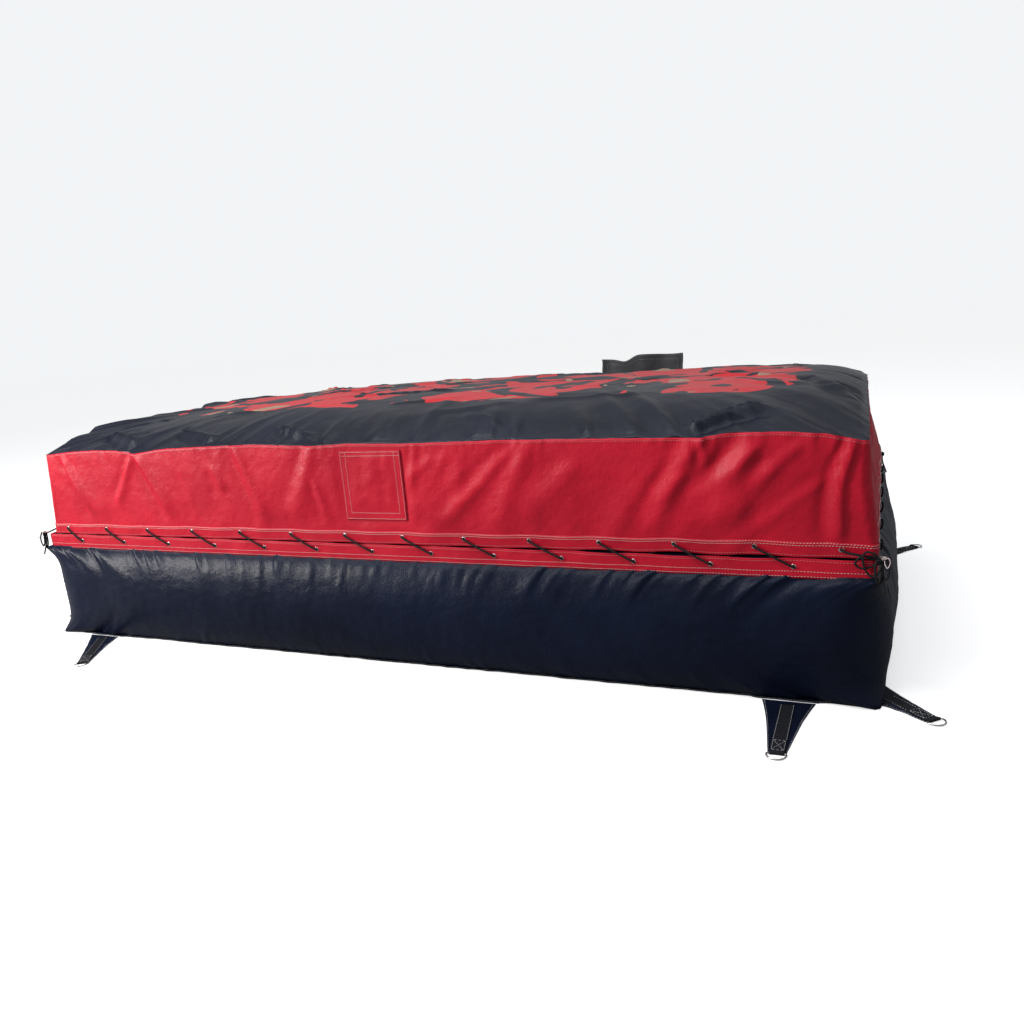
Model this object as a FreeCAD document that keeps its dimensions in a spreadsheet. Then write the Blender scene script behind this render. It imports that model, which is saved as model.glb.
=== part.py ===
"""Two-tier air landing mat: a bulging inflated base, and over its landing cushion a laced-on cover.

Millimetres. Origin at the bottom centre of the mat, +X along its length, -Y out of its front, +Z up.
Each wall piece is drawn as the front one, then turned about Z to its own side of the mat.
"""
import FreeCAD, Part
import Sketcher
import math
import os

doc = FreeCAD.newDocument("air_landing_mat")
V = FreeCAD.Vector

# ---------------------------------------------------------------- driving sizes
SIZES = {
    # the mat as a whole
    "mat_length": 4000, "mat_width": 2000, "base_height": 544, "edge_height": 958, "crown_rise": 190,
    "sheet_thick": 2.5, "gap": 0.3,
    # base chamber
    "wall_bulge": 80, "band_foot": 470, "shoulder_height": 512, "chamber_inset": 15,
    "flange_width": 22, "flange_corner": 60, "base_web_count": 7, "base_web_pitch": 500,
    "web_thick": 2, "web_hole_radius": 90, "web_margin": 30,
    # lacing
    "skirt_foot": 547, "hem_height": 53, "band_thick": 5, "lace_pitch": 293.9, "lace_shift": 131,
    "lace_rise": 31, "long_eyes": 14, "short_eyes": 7, "eye_bore": 5.5, "eye_flange": 9.5, "eye_plate": 1,
    "cord_radius": 4, "cord_turn": 10, "knot_radius": 14, "tail_length": 90,
    # landing cushion
    "cushion_gap": 5, "cushion_web_count": 5, "cushion_web_pitch": 640, "cushion_web_height": 380,
    # front vent
    "vent_offset": 30, "flap_side": 300, "flap_top": 955, "vent_side": 200, "tape_width": 33,
    "tape_thick": 1, "screen_cells": 11, "screen_pitch": 17, "screen_hole": 11,
    # rear vent
    "rear_offset": 695, "rear_width": 490, "rear_height": 200, "rear_vent_width": 400,
    "rear_vent_height": 130, "rear_vent_top": 932,
    # blower sleeve
    "sleeve_offset": 900, "sleeve_radius": 130, "sleeve_length": 330, "sleeve_height": 150,
    "sleeve_ring": 50,
    # anchors
    "tab_root": 190, "tab_tip": 60, "strap_width": 50, "strap_thick": 2, "strap_start": 30,
    "ring_wire": 3, "ring_radius": 32, "ring_play": 0.4,
}

sheet = doc.addObject("Spreadsheet::Sheet", "Sizes")
for row, (alias, number) in enumerate(SIZES.items(), start=1):
    sheet.set(f"A{row}", alias)
    sheet.set(f"B{row}", str(number))
    sheet.setAlias(f"B{row}", alias)
doc.recompute()

SIDE_TURN = {"front": 0, "right": 90, "back": 180, "left": 270}
# anchor tabs: side, place along the wall, how far the tip leans along the wall, reach beyond the flange
ANCHORS = {
    "front_right": ("front", 1710, 0, 386),
    "front_left": ("front", -1720, 210, 318),
    "right_front": ("right", -890, -170, 158),
    "right_back": ("right", 890, 170, 158),
    "back_right": ("back", -1710, 0, 386),
    "back_left": ("back", 1720, -210, 318),
    "left_back": ("left", -890, -170, 158),
    "left_front": ("left", 620, 170, 158),
}
nodes = {}


def size(alias):
    """Number held by one cell of the sheet."""
    return float(sheet.get(alias))


def node(label, item):
    """Name a finished sub-part; its label is the name of its file."""
    item.Label = label
    nodes[label] = item
    return item


def bind(item, **expressions):
    """Bind properties of an object to cells of the sheet."""
    for name, text in expressions.items():
        item.setExpression(name, text)
    return item


def is_long(side):
    return side in ("front", "back")


def run_of(side):
    """Half the length of a wall, as an expression."""
    return "Sizes.mat_length / 2" if is_long(side) else "Sizes.mat_width / 2"


def reach_of(side):
    """Distance of a wall from the middle of the mat, as an expression."""
    return "Sizes.mat_width / 2" if is_long(side) else "Sizes.mat_length / 2"


def turned(side):
    """Placement that turns a piece drawn at the front to its own side."""
    return FreeCAD.Placement(V(0, 0, 0), FreeCAD.Rotation(V(0, 0, 1), SIDE_TURN[side]))


# ---------------------------------------------------------------- sketches and bodies
def new_body(name):
    body = doc.addObject("PartDesign::Body", name)
    body.AllowCompound = True
    return body


def new_sketch(body, name, plane):
    """Empty sketch on one of the body's own origin planes."""
    sketch = body.newObject("Sketcher::SketchObject", name)
    origin = [p for p in body.Origin.OriginFeatures if p.Role == plane][0]
    sketch.AttachmentSupport = [(origin, "")]
    sketch.MapMode = "FlatFace"
    return sketch


def outline(sketch, corners, bulges=None):
    """Closed outline through corners given as pairs of expressions, each tied to the sheet.

    bulges maps the number of an edge to the height, as an expression, of an arc over that edge,
    positive where the arc lies on the right of the edge.
    """
    bulges = bulges or {}
    at = [(float(sheet.evalExpression(x)), float(sheet.evalExpression(y))) for x, y in corners]
    count = len(corners)
    first = sketch.GeometryCount
    ends = []
    for i in range(count):
        a, b = V(*at[i], 0), V(*at[(i + 1) % count], 0)
        if i not in bulges:
            sketch.addGeometry(Part.LineSegment(a, b), False)
            ends.append((1, 2))
            continue
        height = float(sheet.evalExpression(bulges[i]))
        along = (b - a).normalize()
        middle = (a + b) * 0.5 + V(along.y, -along.x, 0) * height
        forward = height > 0
        sketch.addGeometry(Part.Arc(a, middle, b) if forward else Part.Arc(b, middle, a), False)
        ends.append((1, 2) if forward else (2, 1))
    for i in range(count):
        after = (i + 1) % count
        link = Sketcher.Constraint("Coincident", first + i, ends[i][1], first + after, ends[after][0])
        sketch.addConstraint(link)
    for i, (x_text, y_text) in enumerate(corners):
        tie = sketch.addConstraint(Sketcher.Constraint("DistanceX", first + i, ends[i][0], at[i][0]))
        sketch.setExpression(f"Constraints[{tie}]", x_text)
        tie = sketch.addConstraint(Sketcher.Constraint("DistanceY", first + i, ends[i][0], at[i][1]))
        sketch.setExpression(f"Constraints[{tie}]", y_text)
    for i, height in bulges.items():
        chord = math.dist(at[i], at[(i + 1) % count])
        text = f"({chord ** 2 / 4} + ({height}) ^ 2) / (2 * ({height}))"
        radius = abs(float(sheet.evalExpression(text)))
        tie = sketch.addConstraint(Sketcher.Constraint("Radius", first + i, radius))
        sketch.setExpression(f"Constraints[{tie}]", f"abs({text})")


def circle(sketch, x_text, y_text, radius_text):
    """Circle whose centre and radius are tied to the sheet."""
    x, y, radius = [float(sheet.evalExpression(text)) for text in (x_text, y_text, radius_text)]
    ring = sketch.addGeometry(Part.Circle(V(x, y, 0), V(0, 0, 1), radius), False)
    for kind, number, text in (("DistanceX", x, x_text), ("DistanceY", y, y_text)):
        tie = sketch.addConstraint(Sketcher.Constraint(kind, ring, 3, number))
        sketch.setExpression(f"Constraints[{tie}]", text)
    tie = sketch.addConstraint(Sketcher.Constraint("Radius", ring, radius))
    sketch.setExpression(f"Constraints[{tie}]", radius_text)


def rectangle(sketch, low_x, low_y, high_x, high_y):
    outline(sketch, [(low_x, low_y), (high_x, low_y), (high_x, high_y), (low_x, high_y)])


def pad(body, sketch, length, middle=False):
    feature = body.newObject("PartDesign::Pad", sketch.Name + "_pad")
    feature.Profile = sketch
    feature.Midplane = middle
    feature.setExpression("Length", length)
    return feature


def cut_through(body, sketch):
    feature = body.newObject("PartDesign::Pocket", sketch.Name + "_cut")
    feature.Profile = sketch
    feature.Type = "ThroughAll"
    feature.Midplane = True
    return feature


def repeat(body, original, sketch, count, length, axis="H_Axis"):
    """Copies of one feature, evenly spaced over a length along an axis of its sketch."""
    pattern = body.newObject("PartDesign::LinearPattern", original.Name + "_row")
    pattern.Originals = [original]
    pattern.Direction = (sketch, [axis])
    pattern.Length = float(sheet.evalExpression(length))
    pattern.setExpression("Length", length)
    pattern.Occurrences = int(sheet.evalExpression(count))
    pattern.setExpression("Occurrences", count)
    body.Tip = pattern
    return pattern


def volume_of(body):
    doc.recompute()
    return body.Shape.Volume


def strip_body(name, side, low, high, inner, thick, eyes=None):
    """Flat upright strip of a wall from height low to high, its inner face at distance inner.

    eyes, when given, is the place of the first eyelet hole, its height and the number of holes.
    """
    body = new_body(name)
    face = new_sketch(body, name + "_face", "XZ_Plane")
    rectangle(face, f"-({run_of(side)})", low, run_of(side), high)
    face.setExpression("AttachmentOffset.Base.z", inner)
    pad(body, face, thick)
    whole = volume_of(body)
    if eyes:
        first, height, count = eyes
        holes = new_sketch(body, name + "_eyes", "XZ_Plane")
        circle(holes, first, height, "Sizes.eye_bore + Sizes.gap")
        hole = cut_through(body, holes)
        repeat(body, hole, holes, count, f"Sizes.lace_pitch * ({count} - 1)")
        if volume_of(body) >= whole:
            raise RuntimeError(f"{name}: the eyelet holes cut nothing")
    body.Placement = turned(side)
    return body


def plate(name, low, high):
    """Flat piece between two corners given as expressions."""
    box = doc.addObject("Part::Box", name)
    for length, axis, a, b in zip(("Length", "Width", "Height"), "xyz", low, high):
        box.setExpression(length, f"({b}) - ({a})")
        box.setExpression("Placement.Base." + axis, a)
    return box


def cut_from(name, base, tool):
    rest = doc.addObject("Part::Cut", name)
    rest.Base, rest.Tool = base, tool
    return rest


def eye_count(side):
    return "Sizes.long_eyes" if is_long(side) else "Sizes.short_eyes"


def first_eye(side):
    return f"-Sizes.lace_pitch * ({eye_count(side)} - 1) / 2"


# ---------------------------------------------------------------- base chamber
def base_bottom_panel():
    """Bottom sheet; its edge stands out past the walls as the welded seam flange."""
    body = new_body("base_bottom")
    face = new_sketch(body, "base_bottom_face", "XY_Plane")
    half_x = "(Sizes.mat_length / 2 + Sizes.flange_width)"
    half_y = "(Sizes.mat_width / 2 + Sizes.flange_width)"
    corner = "Sizes.flange_corner"
    corners = []
    for sx, sy in ((1, -1), (1, 1), (-1, 1), (-1, -1)):
        on_x = (f"{sx} * ({half_x} - {corner})", f"{sy} * {half_y}")
        on_y = (f"{sx} * {half_x}", f"{sy} * ({half_y} - {corner})")
        corners += [on_x, on_y] if sx * sy < 0 else [on_y, on_x]
    rise = f"{corner} * (1 - sqrt(0.5))"
    outline(face, corners, {0: rise, 2: rise, 4: rise, 6: rise})
    pad(body, face, "Sizes.sheet_thick")
    return body


def base_wall(side):
    """Wall held in at its two seams, so that the air bows it out between them.

    Above the bow it leans in to a shoulder, which leaves the lacing cord room behind the band.
    """
    body = new_body("base_wall_" + side)
    reach, run = reach_of(side), run_of(side)
    thick = "Sizes.sheet_thick"
    foot, head = "Sizes.sheet_thick", "Sizes.base_height - Sizes.sheet_thick"
    inset = "Sizes.chamber_inset"
    section = new_sketch(body, f"base_wall_{side}_section", "YZ_Plane")
    outer = [
        (f"-({reach})", foot),
        (f"-({reach})", "Sizes.band_foot"),
        (f"-({reach}) + {inset}", "Sizes.shoulder_height"),
        (f"-({reach}) + {inset}", head),
    ]
    inner = [(f"{x} + {thick}", z) for x, z in reversed(outer)]
    outline(section, outer + inner, {0: "-Sizes.wall_bulge", 6: "Sizes.wall_bulge"})
    margin = "(Sizes.wall_bulge + 20)"
    pad(body, section, f"2 * ({run} + {margin})", middle=True)
    whole = volume_of(body)
    mitre = new_sketch(body, f"base_wall_{side}_mitre", "XY_Plane")
    for end in (1, -1):
        corners = [
            (f"{end} * ({run} - {margin})", f"-({reach}) + {margin}"),
            (f"{end} * ({run} + {margin})", f"-({reach}) - {margin}"),
            (f"{end} * ({run} + {margin} + 1)", f"-({reach}) + {margin}"),
        ]
        outline(mitre, corners)
    cut_through(body, mitre)
    if volume_of(body) >= whole:
        raise RuntimeError(f"{body.Name}: the mitres cut nothing")
    body.Placement = turned(side)
    return body


def base_top_panel():
    """Top sheet of the base, between the shoulders of its walls."""
    box = doc.addObject("Part::Box", "base_top")
    bind(
        box,
        Length="Sizes.mat_length - 2 * Sizes.chamber_inset",
        Width="Sizes.mat_width - 2 * Sizes.chamber_inset",
        Height="Sizes.sheet_thick - Sizes.gap",
    )
    box.setExpression("Placement.Base.x", "-Sizes.mat_length / 2 + Sizes.chamber_inset")
    box.setExpression("Placement.Base.y", "-Sizes.mat_width / 2 + Sizes.chamber_inset")
    box.setExpression("Placement.Base.z", "Sizes.base_height - Sizes.sheet_thick + Sizes.gap")
    return box


def web_row(name, count, pitch, low, high):
    """Upright sheets across the width that tie top to bottom, with round air passages."""
    body = new_body(name)
    half = "(Sizes.mat_width / 2 - Sizes.chamber_inset - Sizes.web_margin)"
    face = new_sketch(body, name + "_face", "YZ_Plane")
    rectangle(face, f"-{half}", low, half, high)
    for place in (-0.6, -0.2, 0.2, 0.6):
        circle(face, f"{place} * {half}", f"({low} + {high}) / 2", "Sizes.web_hole_radius")
    face.setExpression("AttachmentOffset.Base.z", f"-{pitch} * ({count} - 1) / 2")
    sheet_pad = pad(body, face, "Sizes.web_thick", middle=True)
    repeat(body, sheet_pad, face, count, f"{pitch} * ({count} - 1)", axis="N_Axis")
    return body


# ---------------------------------------------------------------- crowned pieces
def crowned_face(half_x, half_y, edge, rise):
    """Smooth face, flat along its four edges and lifted between them by (1 - u^4)(1 - v^4)."""
    columns, rows = 13, 9
    points = []
    for i in range(columns):
        u = 2 * i / (columns - 1) - 1
        line = []
        for j in range(rows):
            v = 2 * j / (rows - 1) - 1
            line.append(V(u * half_x, v * half_y, edge + rise * (1 - u ** 4) * (1 - v ** 4)))
        points.append(line)
    surface = Part.BSplineSurface()
    surface.interpolate(points)
    return surface.toShape()


def shape_feature(name, shape):
    feature = doc.addObject("Part::Feature", name)
    feature.Shape = shape
    return feature


def cover_top_panel():
    """Crowned top sheet of the cover, sewn along the tops of the four skirts."""
    out = size("sheet_thick")
    face = crowned_face(
        size("mat_length") / 2 + out,
        size("mat_width") / 2 + out,
        size("edge_height") + size("gap"),
        size("crown_rise"),
    )
    return shape_feature("cover_top", face.extrude(V(0, 0, size("sheet_thick"))))


def cushion_top_panel():
    """Crowned top sheet of the landing cushion, just under the cover's."""
    inset = size("chamber_inset")
    face = crowned_face(
        size("mat_length") / 2 - inset,
        size("mat_width") / 2 - inset,
        size("edge_height") - size("cushion_gap"),
        size("crown_rise"),
    )
    return shape_feature("cushion_top", face.extrude(V(0, 0, size("sheet_thick"))))


def cushion_block(name, wall, low, high):
    """Upright block of the landing cushion's outline, drawn in by the thickness of its wall."""
    inset = f"(Sizes.chamber_inset + {wall})"
    return plate(
        name,
        (f"-Sizes.mat_length / 2 + {inset}", f"-Sizes.mat_width / 2 + {inset}", low),
        (f"Sizes.mat_length / 2 - {inset}", f"Sizes.mat_width / 2 - {inset}", high),
    )


def cushion_tub(front, rear):
    """Walls and bottom of the landing cushion in one, with its front and rear vent holes.

    front and rear are the middle, top, width and height of the holes.
    """
    low = "(Sizes.skirt_foot + Sizes.gap)"
    high = "(Sizes.edge_height - Sizes.cushion_gap - Sizes.gap)"
    outside = cushion_block("tub_outside", "0", low, high)
    inside = cushion_block("tub_inside", "Sizes.sheet_thick", f"{low} + Sizes.sheet_thick", f"{high} + 1")
    tub = cut_from("tub", outside, inside)
    wall = "(Sizes.mat_width / 2 - Sizes.chamber_inset)"
    for way, (middle, top, width, height) in ((-1, front), (1, rear)):
        across = [f"{middle} - {width} / 2", f"{middle} + {width} / 2"]
        hole = plate(
            f"tub_hole_{way + 1}", (across[0], f"{way} * {wall} - 10", f"{top} - {height}"),
            (across[1], f"{way} * {wall} + 10", top),
        )
        tub = cut_from(f"tub_pierced_{way + 1}", tub, hole)
    return tub


# ---------------------------------------------------------------- lacing
def lace_plane(side):
    """Distance of the middle of the laced layers from the middle of the mat."""
    return f"({reach_of(side)} + (2 * Sizes.sheet_thick + Sizes.gap) / 2)"


def skirt(side, window=None):
    """Upright side of the cover; window is the middle, top, width and height of a vent opening."""
    eyes = (first_eye(side), "Sizes.base_height + Sizes.lace_rise", eye_count(side))
    low, high = "Sizes.skirt_foot", "Sizes.edge_height"
    body = strip_body("skirt_" + side, side, low, high, reach_of(side), "Sizes.sheet_thick", eyes)
    if window:
        whole = volume_of(body)
        middle, top, width, height = window
        opening = new_sketch(body, f"skirt_{side}_vent", "XZ_Plane")
        left, right = f"{middle} - {width} / 2", f"{middle} + {width} / 2"
        rectangle(opening, left, f"{top} - {height}", right, top)
        body.Tip = cut_through(body, opening)
        if volume_of(body) >= whole:
            raise RuntimeError(f"skirt_{side}: the vent cut nothing")
    return body


def compound(name, items):
    group = doc.addObject("Part::Compound", name)
    group.Links = items
    return group


def lacing_band():
    """Folded band sewn along the shoulders of the base, with the lower row of eyelets."""
    strips = []
    for side in SIDE_TURN:
        eyes = (
            f"{first_eye(side)} + Sizes.lace_shift",
            "Sizes.base_height - Sizes.lace_rise",
            f"({eye_count(side)} - 1)",
        )
        inner = f"{lace_plane(side)} - Sizes.band_thick / 2"
        strip = strip_body(
            "band_" + side, side, "Sizes.band_foot", "Sizes.base_height", inner, "Sizes.band_thick", eyes
        )
        strips.append(strip)
    return compound("band", strips)


def skirt_hem():
    """Doubling strip along the foot of each skirt, which the upper row of eyelets goes through."""
    strips = []
    for side in SIDE_TURN:
        eyes = (first_eye(side), "Sizes.base_height + Sizes.lace_rise", eye_count(side))
        inner = f"{reach_of(side)} + Sizes.sheet_thick + Sizes.gap"
        high = "Sizes.skirt_foot + Sizes.hem_height"
        strip = strip_body(
            "hem_" + side, side, "Sizes.skirt_foot", high, inner, "Sizes.sheet_thick", eyes
        )
        strips.append(strip)
    return compound("hem", strips)


def eyelet_row(name, side, shift, height, count):
    """Row of two-part metal eyelets: a tube with a flat flange on each face of the cloth."""
    body = new_body(name)
    section = new_sketch(body, name + "_section", "XY_Plane")
    middle = f"-{lace_plane(side)}"
    half = "(Sizes.band_thick / 2 + Sizes.gap / 2)"
    first = f"({first_eye(side)} + {shift})"
    bore, neck, brim = "Sizes.eye_bore - Sizes.gap", "Sizes.eye_bore + Sizes.gap / 2", "Sizes.eye_flange"
    steps = [(bore, -1, 1), (brim, -1, 1), (brim, -1, 0), (neck, -1, 0)]
    steps += [(neck, 1, 0), (brim, 1, 0), (brim, 1, 1), (bore, 1, 1)]
    corners = [
        (f"{first} + {radius}", f"{middle} + {way} * ({half} + {plate} * Sizes.eye_plate)")
        for radius, way, plate in steps
    ]
    outline(section, corners)
    section.setExpression("AttachmentOffset.Base.z", height)
    axle = new_sketch(body, name + "_axle", "XY_Plane")
    x = float(sheet.evalExpression(first))
    line = axle.addGeometry(Part.LineSegment(V(x, 0, 0), V(x, -50, 0)), False)
    for end, number in ((1, 0), (2, -50)):
        tie = axle.addConstraint(Sketcher.Constraint("DistanceX", line, end, x))
        axle.setExpression(f"Constraints[{tie}]", first)
        axle.addConstraint(Sketcher.Constraint("DistanceY", line, end, number))
    axle.setExpression("AttachmentOffset.Base.z", height)
    turn = body.newObject("PartDesign::Revolution", name + "_turn")
    turn.Profile = section
    turn.ReferenceAxis = (axle, ["Edge1"])
    turn.Angle = 360
    doc.recompute()
    repeat(body, turn, section, count, f"Sizes.lace_pitch * ({count} - 1)")
    body.Placement = turned(side)
    return body


def eyelets(name, shift, height, fewer):
    rows = []
    for side in SIDE_TURN:
        count = f"({eye_count(side)} - {fewer})"
        rows.append(eyelet_row(f"{name}_{side}", side, shift, height, count))
    return compound(name, rows)


def quarter_turn(centre, start_way, end_way, radius):
    """Quarter circle about centre, from the point at start_way to the point at end_way."""
    middle = (start_way + end_way).normalize()
    ends = [centre + way * radius for way in (start_way, middle, end_way)]
    return Part.Arc(*ends).toShape()


def tube_along(edges, radius):
    """Round cord swept along edges that follow each other smoothly."""
    path = Part.Wire(edges)
    start = edges[0].valueAt(edges[0].FirstParameter)
    way = edges[0].tangentAt(edges[0].FirstParameter)
    ring = Part.Wire([Part.makeCircle(radius, start, way)])
    tube = path.makePipeShell([ring], True, False)
    expected = math.pi * radius ** 2 * path.Length
    print(f"cord length {path.Length:.0f} mm, volume {tube.Volume / expected:.4f} of section x length")
    return tube


def lacing_cord(side):
    """One cord along one side, spiralling through the eyelets of the hem and of the band.

    It comes out of each upper eyelet, crosses down in front to the lower one on its right, and goes
    up behind to the next upper one. It starts behind the first eyelet and ends at the corner knot.
    """
    turn = size("cord_turn")
    count = int(sheet.evalExpression(eye_count(side)))
    plane = -float(sheet.evalExpression(lace_plane(side)))
    run = float(sheet.evalExpression(run_of(side)))
    first = float(sheet.evalExpression(first_eye(side)))
    level, rise = size("base_height"), size("lace_rise")
    eyes = []
    for k in range(count):
        place = first + k * size("lace_pitch")
        eyes.append(V(place, plane, level + rise))
        if k < count - 1:
            eyes.append(V(place + size("lace_shift"), plane, level - rise))
    start = eyes[0] + V(-3 * turn, 0, -turn)
    end = V(run + turn / 4, plane, size("skirt_foot"))
    stops = [start] + eyes + [end]
    edges = []
    out = V(0, -1, 0)
    here = start - out * turn
    for k in range(1, len(stops) - 1):
        came = (stops[k] - stops[k - 1]).normalize()
        goes = (stops[k + 1] - stops[k]).normalize()
        through = out if k % 2 else out * -1
        meets = stops[k] - came * turn - through * turn
        edges.append(Part.LineSegment(here, meets).toShape())
        edges.append(quarter_turn(stops[k] - came * turn, through * -1, came, turn))
        edges.append(quarter_turn(stops[k] + goes * turn, goes * -1, through, turn))
        here = stops[k] + goes * turn + through * turn
    edges.append(Part.LineSegment(here, end + out * turn).toShape())
    cord = shape_feature("cord_" + side, tube_along(edges, size("cord_radius")))
    cord.Placement = turned(side)
    return cord


def knot_place(side):
    """Middle of the stopper knot at the right-hand end of a side, before the side is turned."""
    reach = float(sheet.evalExpression(lace_plane(side))) + size("cord_turn")
    run = float(sheet.evalExpression(run_of(side)))
    return V(run + size("cord_turn") / 4 + size("knot_radius"), -reach, size("skirt_foot") - 3)


def corner_knots():
    """Stopper knots that end the four cords, one at each corner."""
    knots = []
    for side in SIDE_TURN:
        ball = bind(doc.addObject("Part::Sphere", "knot_" + side), Radius="Sizes.knot_radius")
        here = turned(side).multVec(knot_place(side))
        ball.Placement = FreeCAD.Placement(here, FreeCAD.Rotation())
        knots.append(ball)
    return compound("knots", knots)


# how far a cord's free end has drifted along and out from the wall after each third of its fall
TAIL_DRIFT = ((0, 0), (0, 0), (5, -12), (11, -21))


def cord_tail(side):
    """Free end of a lacing cord, hanging from its knot in three runs and out over the bowed wall."""
    drop = size("tail_length") / 3
    top = knot_place(side) - V(0, 0, size("knot_radius") + size("gap"))
    points = [top + V(along, out, -k * drop) for k, (along, out) in enumerate(TAIL_DRIFT)]
    edges = []
    here = points[0]
    for k in (1, 2):
        came = (points[k] - points[k - 1]).normalize()
        goes = (points[k + 1] - points[k]).normalize()
        half_turn = came.getAngle(goes) / 2
        cut = 0.45 * drop
        print(f"tail {side}: radius {cut / math.tan(half_turn):.0f} mm")
        before, after = points[k] - came * cut, points[k] + goes * cut
        bow = (goes - came).normalize()
        centre = points[k] + bow * (cut / math.sin(half_turn))
        radius = cut / math.tan(half_turn)
        edges.append(Part.LineSegment(here, before).toShape())
        edges.append(Part.Arc(before, centre - bow * radius, after).toShape())
        here = after
    edges.append(Part.LineSegment(here, points[-1]).toShape())
    tail = shape_feature("tail_" + side, tube_along(edges, size("cord_radius")))
    tail.Placement = turned(side)
    return tail


# ---------------------------------------------------------------- vents and flaps
SKIRT_FACE = "(Sizes.mat_width / 2 + Sizes.sheet_thick)"
VENT_LEFT = "(Sizes.vent_offset - Sizes.flap_side / 2)"
VENT_RIGHT = "(Sizes.vent_offset + Sizes.flap_side / 2)"
FLAP_FOOT = "(Sizes.flap_top - Sizes.flap_side)"


def tape_frame(name, near):
    """Touch tape on three sides of the flap's outline, its near face at the distance given."""
    body = new_body(name)
    face = new_sketch(body, name + "_face", "XZ_Plane")
    tape = "Sizes.tape_width"
    top = f"Sizes.flap_top - {tape}"
    corners = [
        (VENT_LEFT, FLAP_FOOT),
        (VENT_RIGHT, FLAP_FOOT),
        (VENT_RIGHT, top),
        (f"{VENT_RIGHT} - {tape}", top),
        (f"{VENT_RIGHT} - {tape}", f"{FLAP_FOOT} + {tape}"),
        (f"{VENT_LEFT} + {tape}", f"{FLAP_FOOT} + {tape}"),
        (f"{VENT_LEFT} + {tape}", top),
        (VENT_LEFT, top),
    ]
    outline(face, corners)
    face.setExpression("AttachmentOffset.Base.z", near)
    pad(body, face, "Sizes.tape_thick")
    return body


def vent_flap():
    """Square flap sewn to the skirt along its top edge."""
    near = f"({SKIRT_FACE} + 3 * Sizes.gap + 2 * Sizes.tape_thick)"
    far = f"({near} + Sizes.sheet_thick)"
    return plate("flap", (VENT_LEFT, f"-{far}", FLAP_FOOT), (VENT_RIGHT, f"-{near}", "Sizes.flap_top"))


def screen(name, side, middle, top, width, height, columns, rows):
    """Mesh panel behind a vent opening: a sheet with rows of round holes."""
    body = new_body(name)
    edge = "Sizes.tape_width / 2"
    face = new_sketch(body, name + "_face", "XZ_Plane")
    low = f"{top} - {height}"
    rectangle(
        face, f"{middle} - {width} / 2 - {edge}", f"{low} - {edge}",
        f"{middle} + {width} / 2 + {edge}", f"{top} + {edge}",
    )
    thick = "Sizes.sheet_thick - 2 * Sizes.gap"
    face.setExpression("AttachmentOffset.Base.z", f"{reach_of(side)} - Sizes.sheet_thick")
    pad(body, face, thick)
    whole = volume_of(body)
    holes = new_sketch(body, name + "_holes", "XZ_Plane")
    radius = "Sizes.screen_hole / 2"
    for row in range(rows):
        across = f"{middle} - Sizes.screen_pitch * {(columns - 1) / 2}"
        circle(holes, across, f"{low} + {height} / 2 + Sizes.screen_pitch * {row - (rows - 1) / 2}", radius)
    hole = cut_through(body, holes)
    repeat(body, hole, holes, str(columns), f"Sizes.screen_pitch * {columns - 1}")
    if volume_of(body) >= whole:
        raise RuntimeError(f"{name}: the holes cut nothing")
    body.Placement = turned(side)
    return body


def rear_flap():
    """Flap of the rear vent, sewn along its foot to the rear top seam and turned up over it."""
    near = f"({SKIRT_FACE} + 2 * Sizes.gap)"
    far = f"({near} + Sizes.sheet_thick)"
    foot = "(Sizes.edge_height + Sizes.sheet_thick)"
    return plate(
        "flap_up",
        ("Sizes.rear_offset - Sizes.rear_width / 2", near, foot),
        ("Sizes.rear_offset + Sizes.rear_width / 2", far, f"{foot} + Sizes.rear_height"),
    )


# ---------------------------------------------------------------- blower sleeve
SLEEVE_MOUTH = "(Sizes.mat_width / 2 + Sizes.wall_bulge + Sizes.sleeve_length)"
WALL_RADIUS = (
    "(((Sizes.band_foot - Sizes.sheet_thick) ^ 2 / 4 + Sizes.wall_bulge ^ 2) / (2 * Sizes.wall_bulge))"
)


def sleeve_cylinder(name, radius, start, length):
    """Round bar along +Y at the blower sleeve's place."""
    bar = bind(doc.addObject("Part::Cylinder", name), Radius=radius, Height=length)
    bar.Placement.Rotation = FreeCAD.Rotation(V(1, 0, 0), -90)
    bar.setExpression("Placement.Base.x", "-Sizes.sleeve_offset")
    bar.setExpression("Placement.Base.y", start)
    bar.setExpression("Placement.Base.z", "Sizes.sleeve_height")
    return bar


def sleeve_ring(name, inner, outer, start, length):
    return cut_from(
        name,
        sleeve_cylinder(name + "_outside", outer, start, length),
        sleeve_cylinder(name + "_bore", inner, f"{start} - 1", f"{length} + 2"),
    )


def blower_sleeve():
    """Cloth tube that a blower is strapped into, trimmed to the bowed wall that it is sewn to."""
    start = "(Sizes.mat_width / 2)"
    outer = "Sizes.sleeve_radius + Sizes.sheet_thick"
    tube = sleeve_ring("sleeve", "Sizes.sleeve_radius", outer, start, f"{SLEEVE_MOUTH} - {start}")
    wall = bind(
        doc.addObject("Part::Cylinder", "sleeve_trim"),
        Radius=f"{WALL_RADIUS} + Sizes.gap",
        Height="4 * Sizes.sleeve_radius",
    )
    wall.Placement.Rotation = FreeCAD.Rotation(V(0, 1, 0), 90)
    wall.setExpression("Placement.Base.x", "-Sizes.sleeve_offset - 2 * Sizes.sleeve_radius")
    wall.setExpression("Placement.Base.y", f"{start} + Sizes.wall_bulge - {WALL_RADIUS}")
    wall.setExpression("Placement.Base.z", "(Sizes.band_foot + Sizes.sheet_thick) / 2")
    return cut_from("sleeve_trimmed", tube, wall)


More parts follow.
